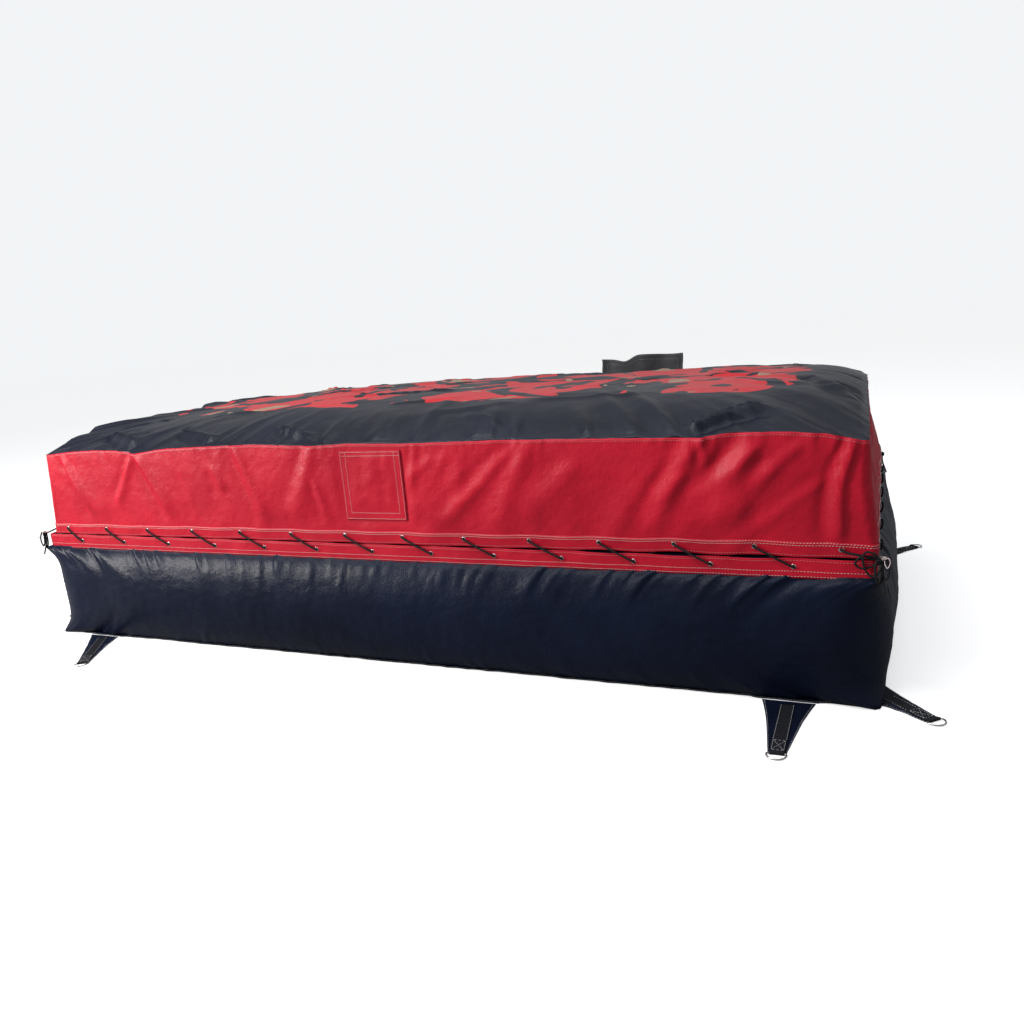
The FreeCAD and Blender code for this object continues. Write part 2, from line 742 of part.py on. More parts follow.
def pierced_back_wall():
    """Back wall of the base with the hole that the blower sleeve opens into."""
    start = "(Sizes.mat_width / 2 - Sizes.wall_bulge)"
    hole = sleeve_cylinder("sleeve_hole", "Sizes.sleeve_radius", start, "3 * Sizes.wall_bulge")
    return cut_from("back_wall_pierced", base_wall("back"), hole)


# ---------------------------------------------------------------- anchors
def wire_ring():
    """D-shaped wire ring: a straight bar along X, two rounded corners and a half circle towards -Y."""
    radius, corner = size("ring_radius"), size("ring_wire") + size("cord_radius")
    flat = radius - corner
    diagonal = corner * math.sqrt(0.5)
    right = [V(flat, 0, 0), V(flat + diagonal, -corner + diagonal, 0), V(radius, -corner, 0)]
    left = [V(-point.x, point.y, 0) for point in reversed(right)]
    edges = [
        Part.LineSegment(V(0, 0, 0), right[0]).toShape(),
        Part.Arc(*right).toShape(),
        Part.Arc(right[2], V(0, -corner - radius, 0), left[0]).toShape(),
        Part.Arc(*left).toShape(),
        Part.LineSegment(left[2], V(0, 0, 0)).toShape(),
    ]
    section = Part.Wire([Part.makeCircle(size("ring_wire"), V(0, 0, 0), V(1, 0, 0))])
    return Part.Wire(edges).makePipeShell([section], True, False)


def anchor_pieces(name, side, place, lean, length):
    """Sewn tab, webbing strap with its loop, and the wire ring that the loop holds.

    The tab starts at the edge of the seam flange and lies on the ground. Its strap runs from the
    middle of its root to the middle of its tip, and the ring turns about its straight bar there.
    """
    edge = f"({reach_of(side)} + Sizes.flange_width + Sizes.gap)"
    body = new_body(name + "_sheet")
    face = new_sketch(body, name + "_face", "XY_Plane")
    slant = math.atan2(lean, length)
    reach = math.hypot(lean, length)
    across = (f"Sizes.tab_tip / 2 * {math.cos(slant)}", f"Sizes.tab_tip / 2 * {math.sin(slant)}")
    corners = [
        (f"{place} - Sizes.tab_root / 2", f"-{edge}"),
        (f"{place + lean} - {across[0]}", f"-{edge} - {length} - {across[1]}"),
        (f"{place + lean} + {across[0]}", f"-{edge} - {length} + {across[1]}"),
        (f"{place} + Sizes.tab_root / 2", f"-{edge}"),
    ]
    outline(face, corners)
    pad(body, face, "Sizes.sheet_thick - Sizes.gap")
    body.Placement = turned(side)

    root = V(place, -float(sheet.evalExpression(edge)), 0)
    along = FreeCAD.Placement(root, FreeCAD.Rotation(V(0, 0, 1), math.degrees(slant)))
    frame = turned(side).multiply(along)
    loop = f"({reach} + Sizes.strap_thick + 2 * Sizes.ring_wire)"
    bar_height = "(Sizes.sheet_thick + Sizes.ring_wire)"
    flat_end = f"({loop} - Sizes.ring_wire - Sizes.ring_play - Sizes.strap_thick / 2)"
    webbing = doc.addObject("Part::Box", name + "_webbing")
    flat_length = f"{flat_end} - Sizes.strap_start"
    bind(webbing, Length="Sizes.strap_width", Width=flat_length, Height="Sizes.strap_thick")
    depth = float(sheet.evalExpression(flat_end))
    inner = "(Sizes.ring_wire + Sizes.ring_play)"
    loop_at = float(sheet.evalExpression(loop))
    bar_at = float(sheet.evalExpression(bar_height))
    webbing.Placement = frame.multiply(
        FreeCAD.Placement(V(-size("strap_width") / 2, -depth, size("sheet_thick")), FreeCAD.Rotation())
    )
    crosswise = FreeCAD.Rotation(V(0, 1, 0), 90)
    rings = []
    for kind, radius in (("outer", f"{inner} + Sizes.strap_thick"), ("inner", inner)):
        item = doc.addObject("Part::Cylinder", f"{name}_loop_{kind}")
        bind(item, Radius=radius, Height="Sizes.strap_width")
        item.Placement = frame.multiply(
            FreeCAD.Placement(V(-size("strap_width") / 2, -loop_at, bar_at), crosswise)
        )
        rings.append(item)
    joined = doc.addObject("Part::Fuse", name + "_strap_full")
    joined.Base, joined.Tool = webbing, rings[0]
    looped = doc.addObject("Part::Cut", name + "_strap")
    looped.Base, looped.Tool = joined, rings[1]

    ring = shape_feature(name + "_ring", wire_ring())
    ring.Placement = frame.multiply(FreeCAD.Placement(V(0, -loop_at, bar_at), FreeCAD.Rotation()))
    axis = frame.Rotation.multVec(V(1, 0, 0))
    middle = frame.multVec(V(0, -loop_at, bar_at))
    hinge = turned(side).multVec(V(place, -float(sheet.evalExpression(edge)), size("sheet_thick")))
    print(f"anchor {name}: tab hinge {tuple(round(c, 2) for c in hinge)}")
    print(f"anchor {name}: ring hinge {tuple(round(c, 2) for c in middle)} axis {tuple(axis)}")
    return body, looped, ring


# ---------------------------------------------------------------- assembly
node("base_bottom_panel", base_bottom_panel())
for side in ("front", "right", "left"):
    node("base_wall_" + side, base_wall(side))
node("base_wall_back", pierced_back_wall())
node("base_top_panel", base_top_panel())
node("base_webs", web_row(
    "base_web_row", "Sizes.base_web_count", "Sizes.base_web_pitch",
    "Sizes.sheet_thick + Sizes.gap", "Sizes.base_height - Sizes.sheet_thick",
))
node("lacing_band", lacing_band())
node("band_eyelets", eyelets("eyes_low", "Sizes.lace_shift", "Sizes.base_height - Sizes.lace_rise", 1))

CUSHION_LOW = "Sizes.skirt_foot + Sizes.sheet_thick + 2 * Sizes.gap"
node("cushion_webs", web_row(
    "cushion_web_row", "Sizes.cushion_web_count", "Sizes.cushion_web_pitch",
    CUSHION_LOW, f"{CUSHION_LOW} + Sizes.cushion_web_height",
))
node("cover_top_panel", cover_top_panel())
FRONT_TOP = "(Sizes.flap_top - Sizes.flap_side / 2 + Sizes.vent_side / 2)"
front_window = ("Sizes.vent_offset", FRONT_TOP, "Sizes.vent_side", "Sizes.vent_side")
rear_vent = ("Sizes.rear_vent_top", "Sizes.rear_vent_width", "Sizes.rear_vent_height")
rear_window = ("(-Sizes.rear_offset)", *rear_vent)
node("cushion_tub", cushion_tub(front_window, ("Sizes.rear_offset", *rear_vent)))
node("cushion_top_panel", cushion_top_panel())
node("cover_skirt_front", skirt("front", front_window))
node("cover_skirt_right", skirt("right"))
node("cover_skirt_back", skirt("back", rear_window))
node("cover_skirt_left", skirt("left"))
node("skirt_hem", skirt_hem())
node("hem_eyelets", eyelets("eyes_high", "0", "Sizes.base_height + Sizes.lace_rise", 0))

for side in SIDE_TURN:
    node("lacing_cord_" + side, lacing_cord(side))
node("corner_knots", corner_knots())
for side in SIDE_TURN:
    node("cord_tail_" + side, cord_tail(side))

cells = int(size("screen_cells"))
node("front_vent_screen", screen("mesh_front", "front", *front_window, cells, cells))
node("rear_vent_screen", screen("mesh_back", "back", *rear_window, 2 * cells, cells - 4))
node("vent_loop_tape", tape_frame("loops", f"{SKIRT_FACE} + Sizes.gap"))
node("vent_hook_tape", tape_frame("hooks", f"{SKIRT_FACE} + 2 * Sizes.gap + Sizes.tape_thick"))
node("vent_flap", vent_flap())
node("rear_flap", rear_flap())

node("blower_sleeve", blower_sleeve())
strap_bore = "Sizes.sleeve_radius + Sizes.sheet_thick + Sizes.gap"
node("sleeve_strap", sleeve_ring(
    "sleeve_band", strap_bore, f"{strap_bore} + Sizes.strap_thick",
    f"{SLEEVE_MOUTH} - 2 * Sizes.sleeve_ring", "Sizes.sleeve_ring",
))

for name, (side, place, lean, length) in ANCHORS.items():
    tab, strap, ring = anchor_pieces(name, side, place, lean, length)
    node("anchor_tab_" + name, tab)
    node("anchor_strap_" + name, strap)
    node("anchor_ring_" + name, ring)

doc.recompute()

# ---------------------------------------------------------------- checks and files
faults = [item.Label for item in doc.Objects if "Invalid" in item.State or "Error" in item.State]
for label, item in nodes.items():
    if item.Shape.isNull() or not item.Shape.isValid() or not item.Shape.Solids:
        faults.append(label)
if faults:
    raise RuntimeError("not built: " + ", ".join(faults))
os.makedirs("parts", exist_ok=True)
for label, item in nodes.items():
    item.Shape.exportStep(f"parts/{label}.step")
print(len(nodes), "nodes written")
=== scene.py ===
import math

import bmesh
import bpy
import numpy as np
from mathutils import Matrix


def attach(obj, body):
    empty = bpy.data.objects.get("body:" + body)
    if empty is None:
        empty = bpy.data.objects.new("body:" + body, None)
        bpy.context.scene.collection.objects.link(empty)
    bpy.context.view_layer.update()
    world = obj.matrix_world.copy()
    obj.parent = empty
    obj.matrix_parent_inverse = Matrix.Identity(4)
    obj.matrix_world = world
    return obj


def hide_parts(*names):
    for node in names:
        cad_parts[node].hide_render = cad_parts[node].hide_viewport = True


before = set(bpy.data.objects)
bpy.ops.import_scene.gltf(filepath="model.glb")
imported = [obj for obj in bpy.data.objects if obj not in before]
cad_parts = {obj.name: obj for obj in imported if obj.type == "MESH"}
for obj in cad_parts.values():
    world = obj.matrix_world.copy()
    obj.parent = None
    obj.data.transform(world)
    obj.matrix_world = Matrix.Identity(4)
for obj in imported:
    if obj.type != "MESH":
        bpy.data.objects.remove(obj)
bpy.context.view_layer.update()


# ---------------------------------------------------------------- camera, light and floor
# The camera stands at eye height off the right-hand front corner and looks along the front wall.
# A broad bright sky above, a window-like key light from the front left, and a pale floor.
def aim(yaw, pitch, roll, place):
    """World matrix of a camera that looks along yaw and pitch and is then turned about its own axis."""
    ahead = np.array([math.sin(yaw) * math.cos(pitch), math.cos(yaw) * math.cos(pitch), math.sin(pitch)])
    level = np.array([math.cos(yaw), -math.sin(yaw), 0.0])
    above = np.cross(level, ahead)
    right = level * math.cos(roll) + above * math.sin(roll)
    up = -level * math.sin(roll) + above * math.cos(roll)
    matrix = Matrix.Identity(4)
    for i in range(3):
        matrix[i][0], matrix[i][1], matrix[i][2], matrix[i][3] = right[i], up[i], -ahead[i], place[i]
    return matrix


def shown(name, data):
    """New object that carries data, linked to the scene."""
    thing = bpy.data.objects.new(name, data)
    bpy.context.scene.collection.objects.link(thing)
    return thing


camera = shown("eye", bpy.data.cameras.new("eye"))
camera.data.lens, camera.data.sensor_width = 30.1, 36.0
camera.data.clip_end = 100.0
camera.matrix_world = aim(-0.4187, -0.2285, -0.0861, (2.0121, -4.0361, 1.4692))
bpy.context.scene.camera = camera


def area_light(name, place, target, width, height, power, colour):
    """Rectangular soft light at place that faces target."""
    lamp = bpy.data.lights.new(name, "AREA")
    lamp.shape, lamp.size, lamp.size_y = "RECTANGLE", width, height
    lamp.energy, lamp.color = power, colour
    away = np.array(place, float) - np.array(target, float)
    pitch = math.atan2(away[2], math.hypot(away[0], away[1]))
    yaw = math.atan2(-away[0], away[1]) + math.pi
    shown(name, lamp).matrix_world = aim(-yaw, -pitch, 0.0, place)


area_light("sky_panel", (0.0, 0.0, 7.0), (0, 0, 1.0), 8.0, 5.0, 150.0, (0.90, 0.95, 1.0))
area_light("strip_panel", (-1.4, -3.0, 5.2), (-1.0, -1.0, 0.6), 5.0, 0.8, 180.0, (0.95, 0.98, 1.0))
area_light("key_panel", (-5.2, -4.3, 2.7), (-1.0, -1.0, 0.7), 1.3, 1.3, 400.0, (1.0, 0.97, 0.94))

def lit_or_seen(tree, lit, seen):
    """Value that is lit for the light that a surface gives off, and seen for the camera's own view."""
    path = tree.nodes.new("ShaderNodeLightPath")
    value = tree.nodes.new("ShaderNodeMapRange")
    value.inputs["To Min"].default_value, value.inputs["To Max"].default_value = lit, seen
    tree.links.new(path.outputs["Is Camera Ray"], value.inputs["Value"])
    return value.outputs["Result"]


world = bpy.data.worlds.new("studio")
world.use_nodes = True
backdrop = world.node_tree.nodes["Background"]
backdrop.inputs["Color"].default_value = (0.96, 0.98, 1.0, 1.0)
world.node_tree.links.new(lit_or_seen(world.node_tree, 0.38, 0.92), backdrop.inputs["Strength"])
bpy.context.scene.world = world
bpy.context.scene.view_settings.view_transform = "Standard"

FLOOR_REACH = 40.0
floor_mesh = bpy.data.meshes.new("floor")
floor_mesh.from_pydata(
    [(FLOOR_REACH * x, FLOOR_REACH * y, 0) for x, y in ((-1, -1), (1, -1), (1, 1), (-1, 1))], [], [(0, 1, 2, 3)],
)
floor = shown("floor", floor_mesh)
floor_paint = bpy.data.materials.new("floor_paint")
floor_paint.use_nodes = True
floor_tree = floor_paint.node_tree
floor_shader = floor_tree.nodes["Principled BSDF"]
floor_tree.links.new(lit_or_seen(floor_tree, 0.26, 0.92), floor_shader.inputs["Base Color"])
floor_shader.inputs["Roughness"].default_value = 0.85
floor_shader.inputs["Emission Color"].default_value = (1.0, 1.0, 1.0, 1.0)
floor_tree.links.new(lit_or_seen(floor_tree, 0.0, 0.55), floor_shader.inputs["Emission Strength"])
floor_mesh.materials.append(floor_paint)


# ---------------------------------------------------------------- free ends of the lacing cords
# Each side's cord ends in a knot at its right-hand corner, and 90 mm of 8 mm braided cord hangs
# from the knot. The points are those of the cord's route in the frame.
SIDES = ("front", "right", "back", "left")
CORD = 0.008
HALF_X, HALF_Y = 2.0, 1.0
KNOT_HEIGHT = 0.544
KNOT_OUT = 0.01265
KNOT_ALONG = 0.0165


def turned(points, side):
    """Points drawn at the front, turned about Z to another side."""
    points = np.asarray(points, float)
    for _ in range(SIDES.index(side)):
        points = np.stack([-points[..., 1], points[..., 0], points[..., 2]], axis=-1)
    return points


def run_and_reach(side):
    """Half the length of a wall, and its distance from the middle."""
    return (HALF_X, HALF_Y) if side in ("front", "back") else (HALF_Y, HALF_X)


def knot_at(side):
    """Middle of a side's knot, drawn at the front."""
    run, reach = run_and_reach(side)
    return np.array([run + KNOT_ALONG, -reach - KNOT_OUT, KNOT_HEIGHT])


def quad_mesh(name, points, faces):
    """Smooth-shaded mesh from whole arrays of points and of quads."""
    mesh = bpy.data.meshes.new(name)
    mesh.vertices.add(len(points))
    mesh.vertices.foreach_set("co", points.astype(np.float32).ravel())
    mesh.loops.add(faces.size)
    mesh.loops.foreach_set("vertex_index", faces.astype(np.int32).ravel())
    mesh.polygons.add(len(faces))
    mesh.polygons.foreach_set("loop_start", np.arange(0, faces.size, 4, dtype=np.int32))
    mesh.polygons.foreach_set("use_smooth", np.ones(len(faces), bool))
    mesh.update(calc_edges=True)
    return mesh


def grid_corners(grid):
    """The four corners of every quad of a grid, as four arrays."""
    return [grid[:-1, :-1], grid[:-1, 1:], grid[1:, 1:], grid[1:, :-1]]


def grid_mesh(name, points, closed=False, uv=None, flip=False, skip=None):
    """Mesh of quads over a (rows, columns, 3) array of points, its columns joined up if closed.

    uv gives each point its place on the cloth in metres; skip marks the quads that are left out.
    """
    rows, columns = points.shape[:2]
    index = np.arange(rows * columns).reshape(rows, columns)
    if closed:
        index = np.concatenate([index, index[:, :1]], axis=1)
    order = slice(None, None, -1 if flip else 1)
    quads = np.stack(grid_corners(index)[order], axis=-1)
    keep = np.ones(quads.shape[:2], bool) if skip is None else ~skip
    mesh = quad_mesh(name, points.reshape(-1, 3), quads[keep])
    if uv is not None:
        if closed:
            gap = uv[:, -1:] + (uv[:, -1:] - uv[:, -2:-1])
            uv = np.concatenate([uv, gap], axis=1)
        loops = np.stack(grid_corners(uv)[order], axis=2)[keep]
        layer = mesh.uv_layers.new(name="cloth")
        layer.data.foreach_set("uv", loops.astype(np.float32).ravel())
    mesh.validate()
    return shown(name, mesh)


def finish_piece(thing, body, slot, material, *nodes):
    """Gives a piece its material and the body it rides on, and hides the nodes that it stands for; slot is not
    used.
    """
    thing.data.materials.append(material)
    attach(thing, body)
    if nodes:
        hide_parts(*nodes)
    return thing


def weld(thing, distance=0.0004):
    """Joins the doubled points along a closed grid's middle line or ends."""
    mesh = bmesh.new()
    mesh.from_mesh(thing.data)
    bmesh.ops.remove_doubles(mesh, verts=mesh.verts, dist=distance)
    mesh.to_mesh(thing.data)
    mesh.free()
    return thing


def distance_along(line):
    """Distance from the start of a line to each of its points."""
    return np.concatenate([[0], np.cumsum(np.linalg.norm(np.diff(line, axis=0), axis=1))])


def tube_grid(line, radius, segments, braid=0.0):
    """Rings of a tube round a line, and their UV; braid adds a crossed pattern of ridges.

    Each ring stands square to the line. Its first direction is carried along by taking away, at
    each point, the share of a fixed slanting direction that lies along the line.
    """
    ahead = np.gradient(line, axis=0)
    ahead /= np.linalg.norm(ahead, axis=1, keepdims=True)
    slant = np.array([0.31, 0.57, 0.76])
    first = slant - (ahead @ slant)[:, None] * ahead
    first /= np.linalg.norm(first, axis=1, keepdims=True)
    second = np.cross(ahead, first)
    turn = np.linspace(0, math.tau, segments, endpoint=False)
    run = distance_along(line)
    lay, strand = run[:, None] * 260, 3 * turn[None]
    cross = np.abs(np.sin(lay + strand)) + np.abs(np.sin(lay - strand))
    size = radius * (1 + braid * (cross - 1.2))
    points = line[:, None] + size[..., None] * (
        first[:, None] * np.cos(turn)[None, :, None] + second[:, None] * np.sin(turn)[None, :, None]
    )
    uv = np.stack(np.broadcast_arrays(run[:, None], turn[None] / math.tau), axis=-1)
    return points, uv


def closed_tube(name, line, radius, segments, braid=0.0):
    """Tube whose ends are rounded: rings that shrink by cos a and move out by sin a radii."""
    grid, uv = tube_grid(line, radius, segments, braid)
    caps = []
    for end, inner in ((0, 1), (-1, -2)):
        centre = line[end]
        ahead = centre - line[inner]
        ahead = ahead / np.linalg.norm(ahead)
        angle = np.array([0.45, 0.95, 1.35, math.pi / 2])[:, None, None]
        caps.append(centre + (grid[end] - centre) * np.cos(angle) + ahead * radius * np.sin(angle))
    full = np.concatenate([caps[0][::-1], grid, caps[1]])
    full_uv = np.concatenate([np.repeat(uv[:1], 4, 0), uv, np.repeat(uv[-1:], 4, 0)])
    return weld(grid_mesh(name, full, closed=True, uv=full_uv, flip=True), 0.00002)


def new_group(name, inputs, outputs):
    """Node group with named inputs, as name: default, and outputs, and its two ends' sockets."""
    group = bpy.data.node_groups.new(name, "ShaderNodeTree")
    for label, value in inputs.items():
        socket = group.interface.new_socket(label, in_out="INPUT", socket_type="NodeSocketFloat")
        socket.default_value = value
    for label in outputs:
        group.interface.new_socket(label, in_out="OUTPUT", socket_type="NodeSocketFloat")
    return group, group.nodes.new("NodeGroupInput").outputs, group.nodes.new("NodeGroupOutput").inputs


def feed(tree, socket, value):
    """Links a socket's value to an input, or sets the input to a plain value."""
    if isinstance(value, bpy.types.NodeSocket):
        tree.links.new(value, socket)
    else:
        socket.default_value = value


def add(tree, kind, **values):
    """New node, with its settings and the values or links of its inputs."""
    node = tree.nodes.new(kind)
    for name, value in values.items():
        if hasattr(node, name):
            setattr(node, name, value)
        else:
            feed(tree, node.inputs[name.replace("_", " ")], value)
    return node


def math_node(tree, operation, a, b=0.0, c=0.0):
    """Output of a Math node."""
    node = add(tree, "ShaderNodeMath", operation=operation)
    for socket, value in zip(node.inputs, (a, b, c)):
        feed(tree, socket, value)
    return node.outputs[0]


def object_place(tree):
    """Object coordinates."""
    return add(tree, "ShaderNodeTexCoord").outputs["Object"]


def new_material(name, roughness, **values):
    """Material with a Principled shader, and its tree and shader."""
    material = bpy.data.materials.new(name)
    material.use_nodes = True
    tree = material.node_tree
    shader = tree.nodes["Principled BSDF"]
    shader.inputs["Roughness"].default_value = roughness
    for key, value in values.items():
        shader.inputs[key.replace("_", " ")].default_value = value
    return material, tree, shader


def mix_colour(tree, factor, first, second):
    """Colour that goes from first to second as factor goes from 0 to 1."""
    mix = add(tree, "ShaderNodeMix", data_type="RGBA")
    for key, value in ((0, factor), (6, first), (7, second)):
        feed(tree, mix.inputs[key], (*value, 1.0) if isinstance(value, tuple) else value)
    return mix.outputs[2]


def dress(tree, shader, colour, height, strength, depth=1.0, roughness=None):
    """Leads a colour, a bump of the given depth and, where given, a roughness into a shader."""
    tree.links.new(colour, shader.inputs["Base Color"])
    if roughness:
        tree.links.new(roughness, shader.inputs["Roughness"])
    bump = add(tree, "ShaderNodeBump", Strength=strength, Distance=depth, Height=height)
    tree.links.new(bump.outputs["Normal"], shader.inputs["Normal"])


def braid_group():
    """Height of a braided cord and the painted shade of its grooves, from its UV: metres along it, and turns round
    it.
    """
    group, come, go = new_group("braid", {"Strands per metre": 150.0, "Strands round": 8.0}, ("Height", "Shade"))
    cloth = add(group, "ShaderNodeUVMap", uv_map="cloth")
    split = add(group, "ShaderNodeSeparateXYZ", Vector=cloth.outputs["UV"])
    along = math_node(group, "MULTIPLY", split.outputs["X"], come["Strands per metre"])
    turn = math_node(group, "MULTIPLY", split.outputs["Y"], come["Strands round"])
    strands = []
    for lay in ("ADD", "SUBTRACT"):
        wave = math_node(group, "MULTIPLY", math_node(group, lay, along, turn), math.pi)
        strands.append(math_node(group, "ABSOLUTE", math_node(group, "SINE", wave)))
    braid = math_node(group, "MAXIMUM", *strands)
    fray = add(group, "ShaderNodeTexNoise", Vector=object_place(group), Scale=900.0, Detail=2.0)
    fuzz = math_node(group, "MULTIPLY", fray.outputs["Fac"], 0.0002)
    group.links.new(math_node(group, "MULTIPLY_ADD", braid, 0.0006, fuzz), go["Height"])
    group.links.new(braid, go["Shade"])
    return group


BRAID = braid_group()


def braided(name, light, dark, roughness=0.75):
    """Braided polyester cord, light on the strands, with painted shade darkening the grooves between them."""
    material, tree, shader = new_material(name, roughness, Specular_IOR_Level=0.25)
    cord = add(tree, "ShaderNodeGroup", node_tree=BRAID)
    dress(tree, shader, mix_colour(tree, cord.outputs["Shade"], dark, light), cord.outputs["Height"], 1.0)
    return material


# Its dark colour is painted shade in the grooves between the strands.
black_cord = braided("braided_cord", (0.010, 0.010, 0.012), (0.002, 0.002, 0.003))


def spline_points(name, points):
    """Points of the open NURBS spline that has the given control points."""
    curve = bpy.data.curves.new(name, "CURVE")
    curve.dimensions = "3D"
    spline = curve.splines.new("NURBS")
    spline.points.add(len(points) - 1)
    spline.points.foreach_set("co", np.column_stack([points, np.ones(len(points))]).ravel())
    spline.order_u = 3
    spline.use_endpoint_u = True
    curve.resolution_u = 16
    bare = bpy.data.objects.new(name, curve)
    mesh = bpy.data.meshes.new_from_object(bare)
    line = np.zeros(3 * len(mesh.vertices))
    mesh.vertices.foreach_get("co", line)
    bpy.data.objects.remove(bare)
    bpy.data.curves.remove(curve)
    bpy.data.meshes.remove(mesh)
    return line.reshape(-1, 3)


for side in SIDES:
    top = knot_at(side) - np.array([0, 0, 0.0143])
    route = top + np.array([[0, 0, 0], [0, 0, -0.03], [0.005, -0.012, -0.06], [0.011, -0.021, -0.09]])
    line = spline_points("tail_route", turned(route, side))
    tail = closed_tube("cord_tail_run_" + side, line, CORD / 2, 14, 0.08)
    finish_piece(tail, "mat", "braided_cord", black_cord, "cord_tail_" + side)


# ---------------------------------------------------------------- base chamber
# Bottom half of the mat, a box of black vinyl-coated polyester cloth blown up by air. Its walls are
# held in at both seams and bow out 80 mm between them, with gathers at the seams and pinched corners.
def coated_cloth_group():
    """Height and shade of coated cloth: a faint plain weave under the coat, and soft crumpling."""
    group, come, go = new_group(
        "coated_cloth", {"Threads per metre": 700.0, "Crumple": 1.0, "Dust": 0.3}, ("Height", "Shade", "Dust mask"),
    )
    place = object_place(group)
    split = add(group, "ShaderNodeSeparateXYZ", Vector=place)
    level = math_node(group, "ADD", split.outputs["X"], split.outputs["Y"])
    upright = math_node(group, "SUBTRACT", split.outputs["Z"], split.outputs["Y"])
    yarns = []
    for way in (level, upright):
        count = math_node(group, "MULTIPLY", way, come["Threads per metre"])
        yarns.append(math_node(group, "SINE", math_node(group, "MULTIPLY", count, math.tau)))
    weave = math_node(group, "MULTIPLY", *yarns)
    coarse = add(group, "ShaderNodeTexNoise", Vector=place, Scale=7.0, Detail=4.0, Roughness=0.55)
    fine = add(group, "ShaderNodeTexNoise", Vector=place, Scale=42.0, Detail=3.0, Distortion=0.8)
    crumple = math_node(group, "MULTIPLY", coarse.outputs["Fac"], 0.012)
    crumple = math_node(group, "MULTIPLY_ADD", fine.outputs["Fac"], 0.0022, crumple)
    crumple = math_node(group, "MULTIPLY", crumple, come["Crumple"])
    group.links.new(math_node(group, "MULTIPLY_ADD", weave, 0.00006, crumple), go["Height"])
    cloud = add(group, "ShaderNodeTexNoise", Vector=place, Scale=2.3, Detail=6.0, Roughness=0.65)
    shade = add(group, "ShaderNodeMapRange", Value=cloud.outputs["Fac"], From_Min=0.3, From_Max=0.7)
    group.links.new(shade.outputs["Result"], go["Shade"])
    speck = add(group, "ShaderNodeTexNoise", Vector=place, Scale=160.0, Detail=5.0, Roughness=0.7)
    low = math_node(group, "SUBTRACT", 1.0, math_node(group, "MULTIPLY", split.outputs["Z"], 2.2))
    low = math_node(group, "MAXIMUM", low, 0.25)
    dust = math_node(group, "MULTIPLY", math_node(group, "POWER", speck.outputs["Fac"], 3.0), low)
    group.links.new(math_node(group, "MULTIPLY", dust, come["Dust"]), go["Dust mask"])
    return group


COATED = coated_cloth_group()


def coated(name, light, dark, roughness, crumple, dust, shine, figure=None):
    """Vinyl-coated cloth that varies between two colours; figure adds a printed colour over them."""
    material, tree, shader = new_material(name, roughness, Specular_IOR_Level=shine)
    cloth = add(tree, "ShaderNodeGroup", node_tree=COATED, Crumple=crumple, Dust=dust)
    colour = mix_colour(tree, cloth.outputs["Shade"], dark, light)
    if figure:
        colour = figure(tree, colour)
    colour = mix_colour(tree, cloth.outputs["Dust mask"], colour, (0.33, 0.31, 0.29))
    rough = add(
        tree, "ShaderNodeMapRange", Value=cloth.outputs["Shade"], To_Min=roughness - 0.05, To_Max=roughness + 0.07,
    )
    dress(tree, shader, colour, cloth.outputs["Height"], 0.8, roughness=rough.outputs["Result"])
    return material


BLACK = ((0.004, 0.008, 0.026), (0.002, 0.004, 0.013))
black_cloth = coated("black_coated_cloth", *BLACK, 0.34, 0.7, 0.05, 0.12)


def ring_stations(spacing, corner_steps):
    """Stations once round the mat, for the pieces that go all the way round it.

    A station is a side's number, a place t from -1 to 1 along its straight stretch, and the angle
    round the corner that follows it.
    """
    k, t, phi = [], [], []
    for number, side in enumerate(SIDES):
        steps = int(round(2 * run_and_reach(side)[0] / spacing))
        straight = np.linspace(-1, 1, steps + 1)
        arc = np.linspace(0, math.pi / 2, corner_steps + 1)[1:-1]
        k.append(np.full(len(straight) + len(arc), number))
        t.append(np.concatenate([straight, np.ones(len(arc))]))
        phi.append(np.concatenate([np.zeros(len(straight)), arc]))
    k, t, phi = (np.concatenate(part) for part in (k, t, phi))
    return {"side": k, "t": t, "phi": phi}


def ring_point(at, out, corner, height):
    """Point and outward direction on the ring.

    The plan is a rectangle with half sides HALF_X + out and HALF_Y + out and its corners rounded by
    the radius corner. On a straight stretch a point lies t times the straight half length along the
    side; on a corner it is the corner's centre plus the radius in the direction phi.
    """
    even = at["side"] % 2 == 0
    run = np.where(even, HALF_X, HALF_Y) + out
    reach = np.where(even, HALF_Y, HALF_X) + out
    x = at["t"] * (run - corner) + corner * np.sin(at["phi"])
    y = -(reach - corner) - corner * np.cos(at["phi"])
    nx, ny = np.sin(at["phi"]) + 0 * x, -np.cos(at["phi"]) + 0 * x
    angle = at["side"] * math.pi / 2
    c, s = np.cos(angle), np.sin(angle)
    place = np.stack([x * c - y * s, x * s + y * c, height + 0 * x], axis=-1)
    way = np.stack([nx * c - ny * s, nx * s + ny * c, 0 * x], axis=-1)
    return place, way


def along_side(at):
    """Distance from the middle of a station's own side, in metres."""
    return at["t"] * np.where(at["side"] % 2 == 0, HALF_X, HALF_Y) + 0.1 * np.sin(at["phi"])


def thicken(thing, thickness, offset=-1.0):
    """Gives a single surface the thickness of its cloth, inwards unless offset says otherwise."""
    wall = thing.modifiers.new("cloth", "SOLIDIFY")
    wall.thickness, wall.offset = thickness, offset
    return thing


def smooth(x):
    """Smooth step from 0 at x = 0 to 1 at x = 1."""
    x = np.clip(x, 0, 1)
    return x * x * (3 - 2 * x)


def ripple(a, b, length, seed, terms=7):
    """Soft random waves: a sum of sines with random directions, about length long."""
    draw = np.random.default_rng(seed)
    total = 0.0
    for _ in range(terms):
        turn, wave, start = draw.uniform(0, math.tau), draw.uniform(0.6, 1.6), draw.uniform(0, math.tau)
        k = math.tau / (length * wave)
        total = total + np.sin(k * (a * math.cos(turn) + b * math.sin(turn)) + start)
    return total / terms


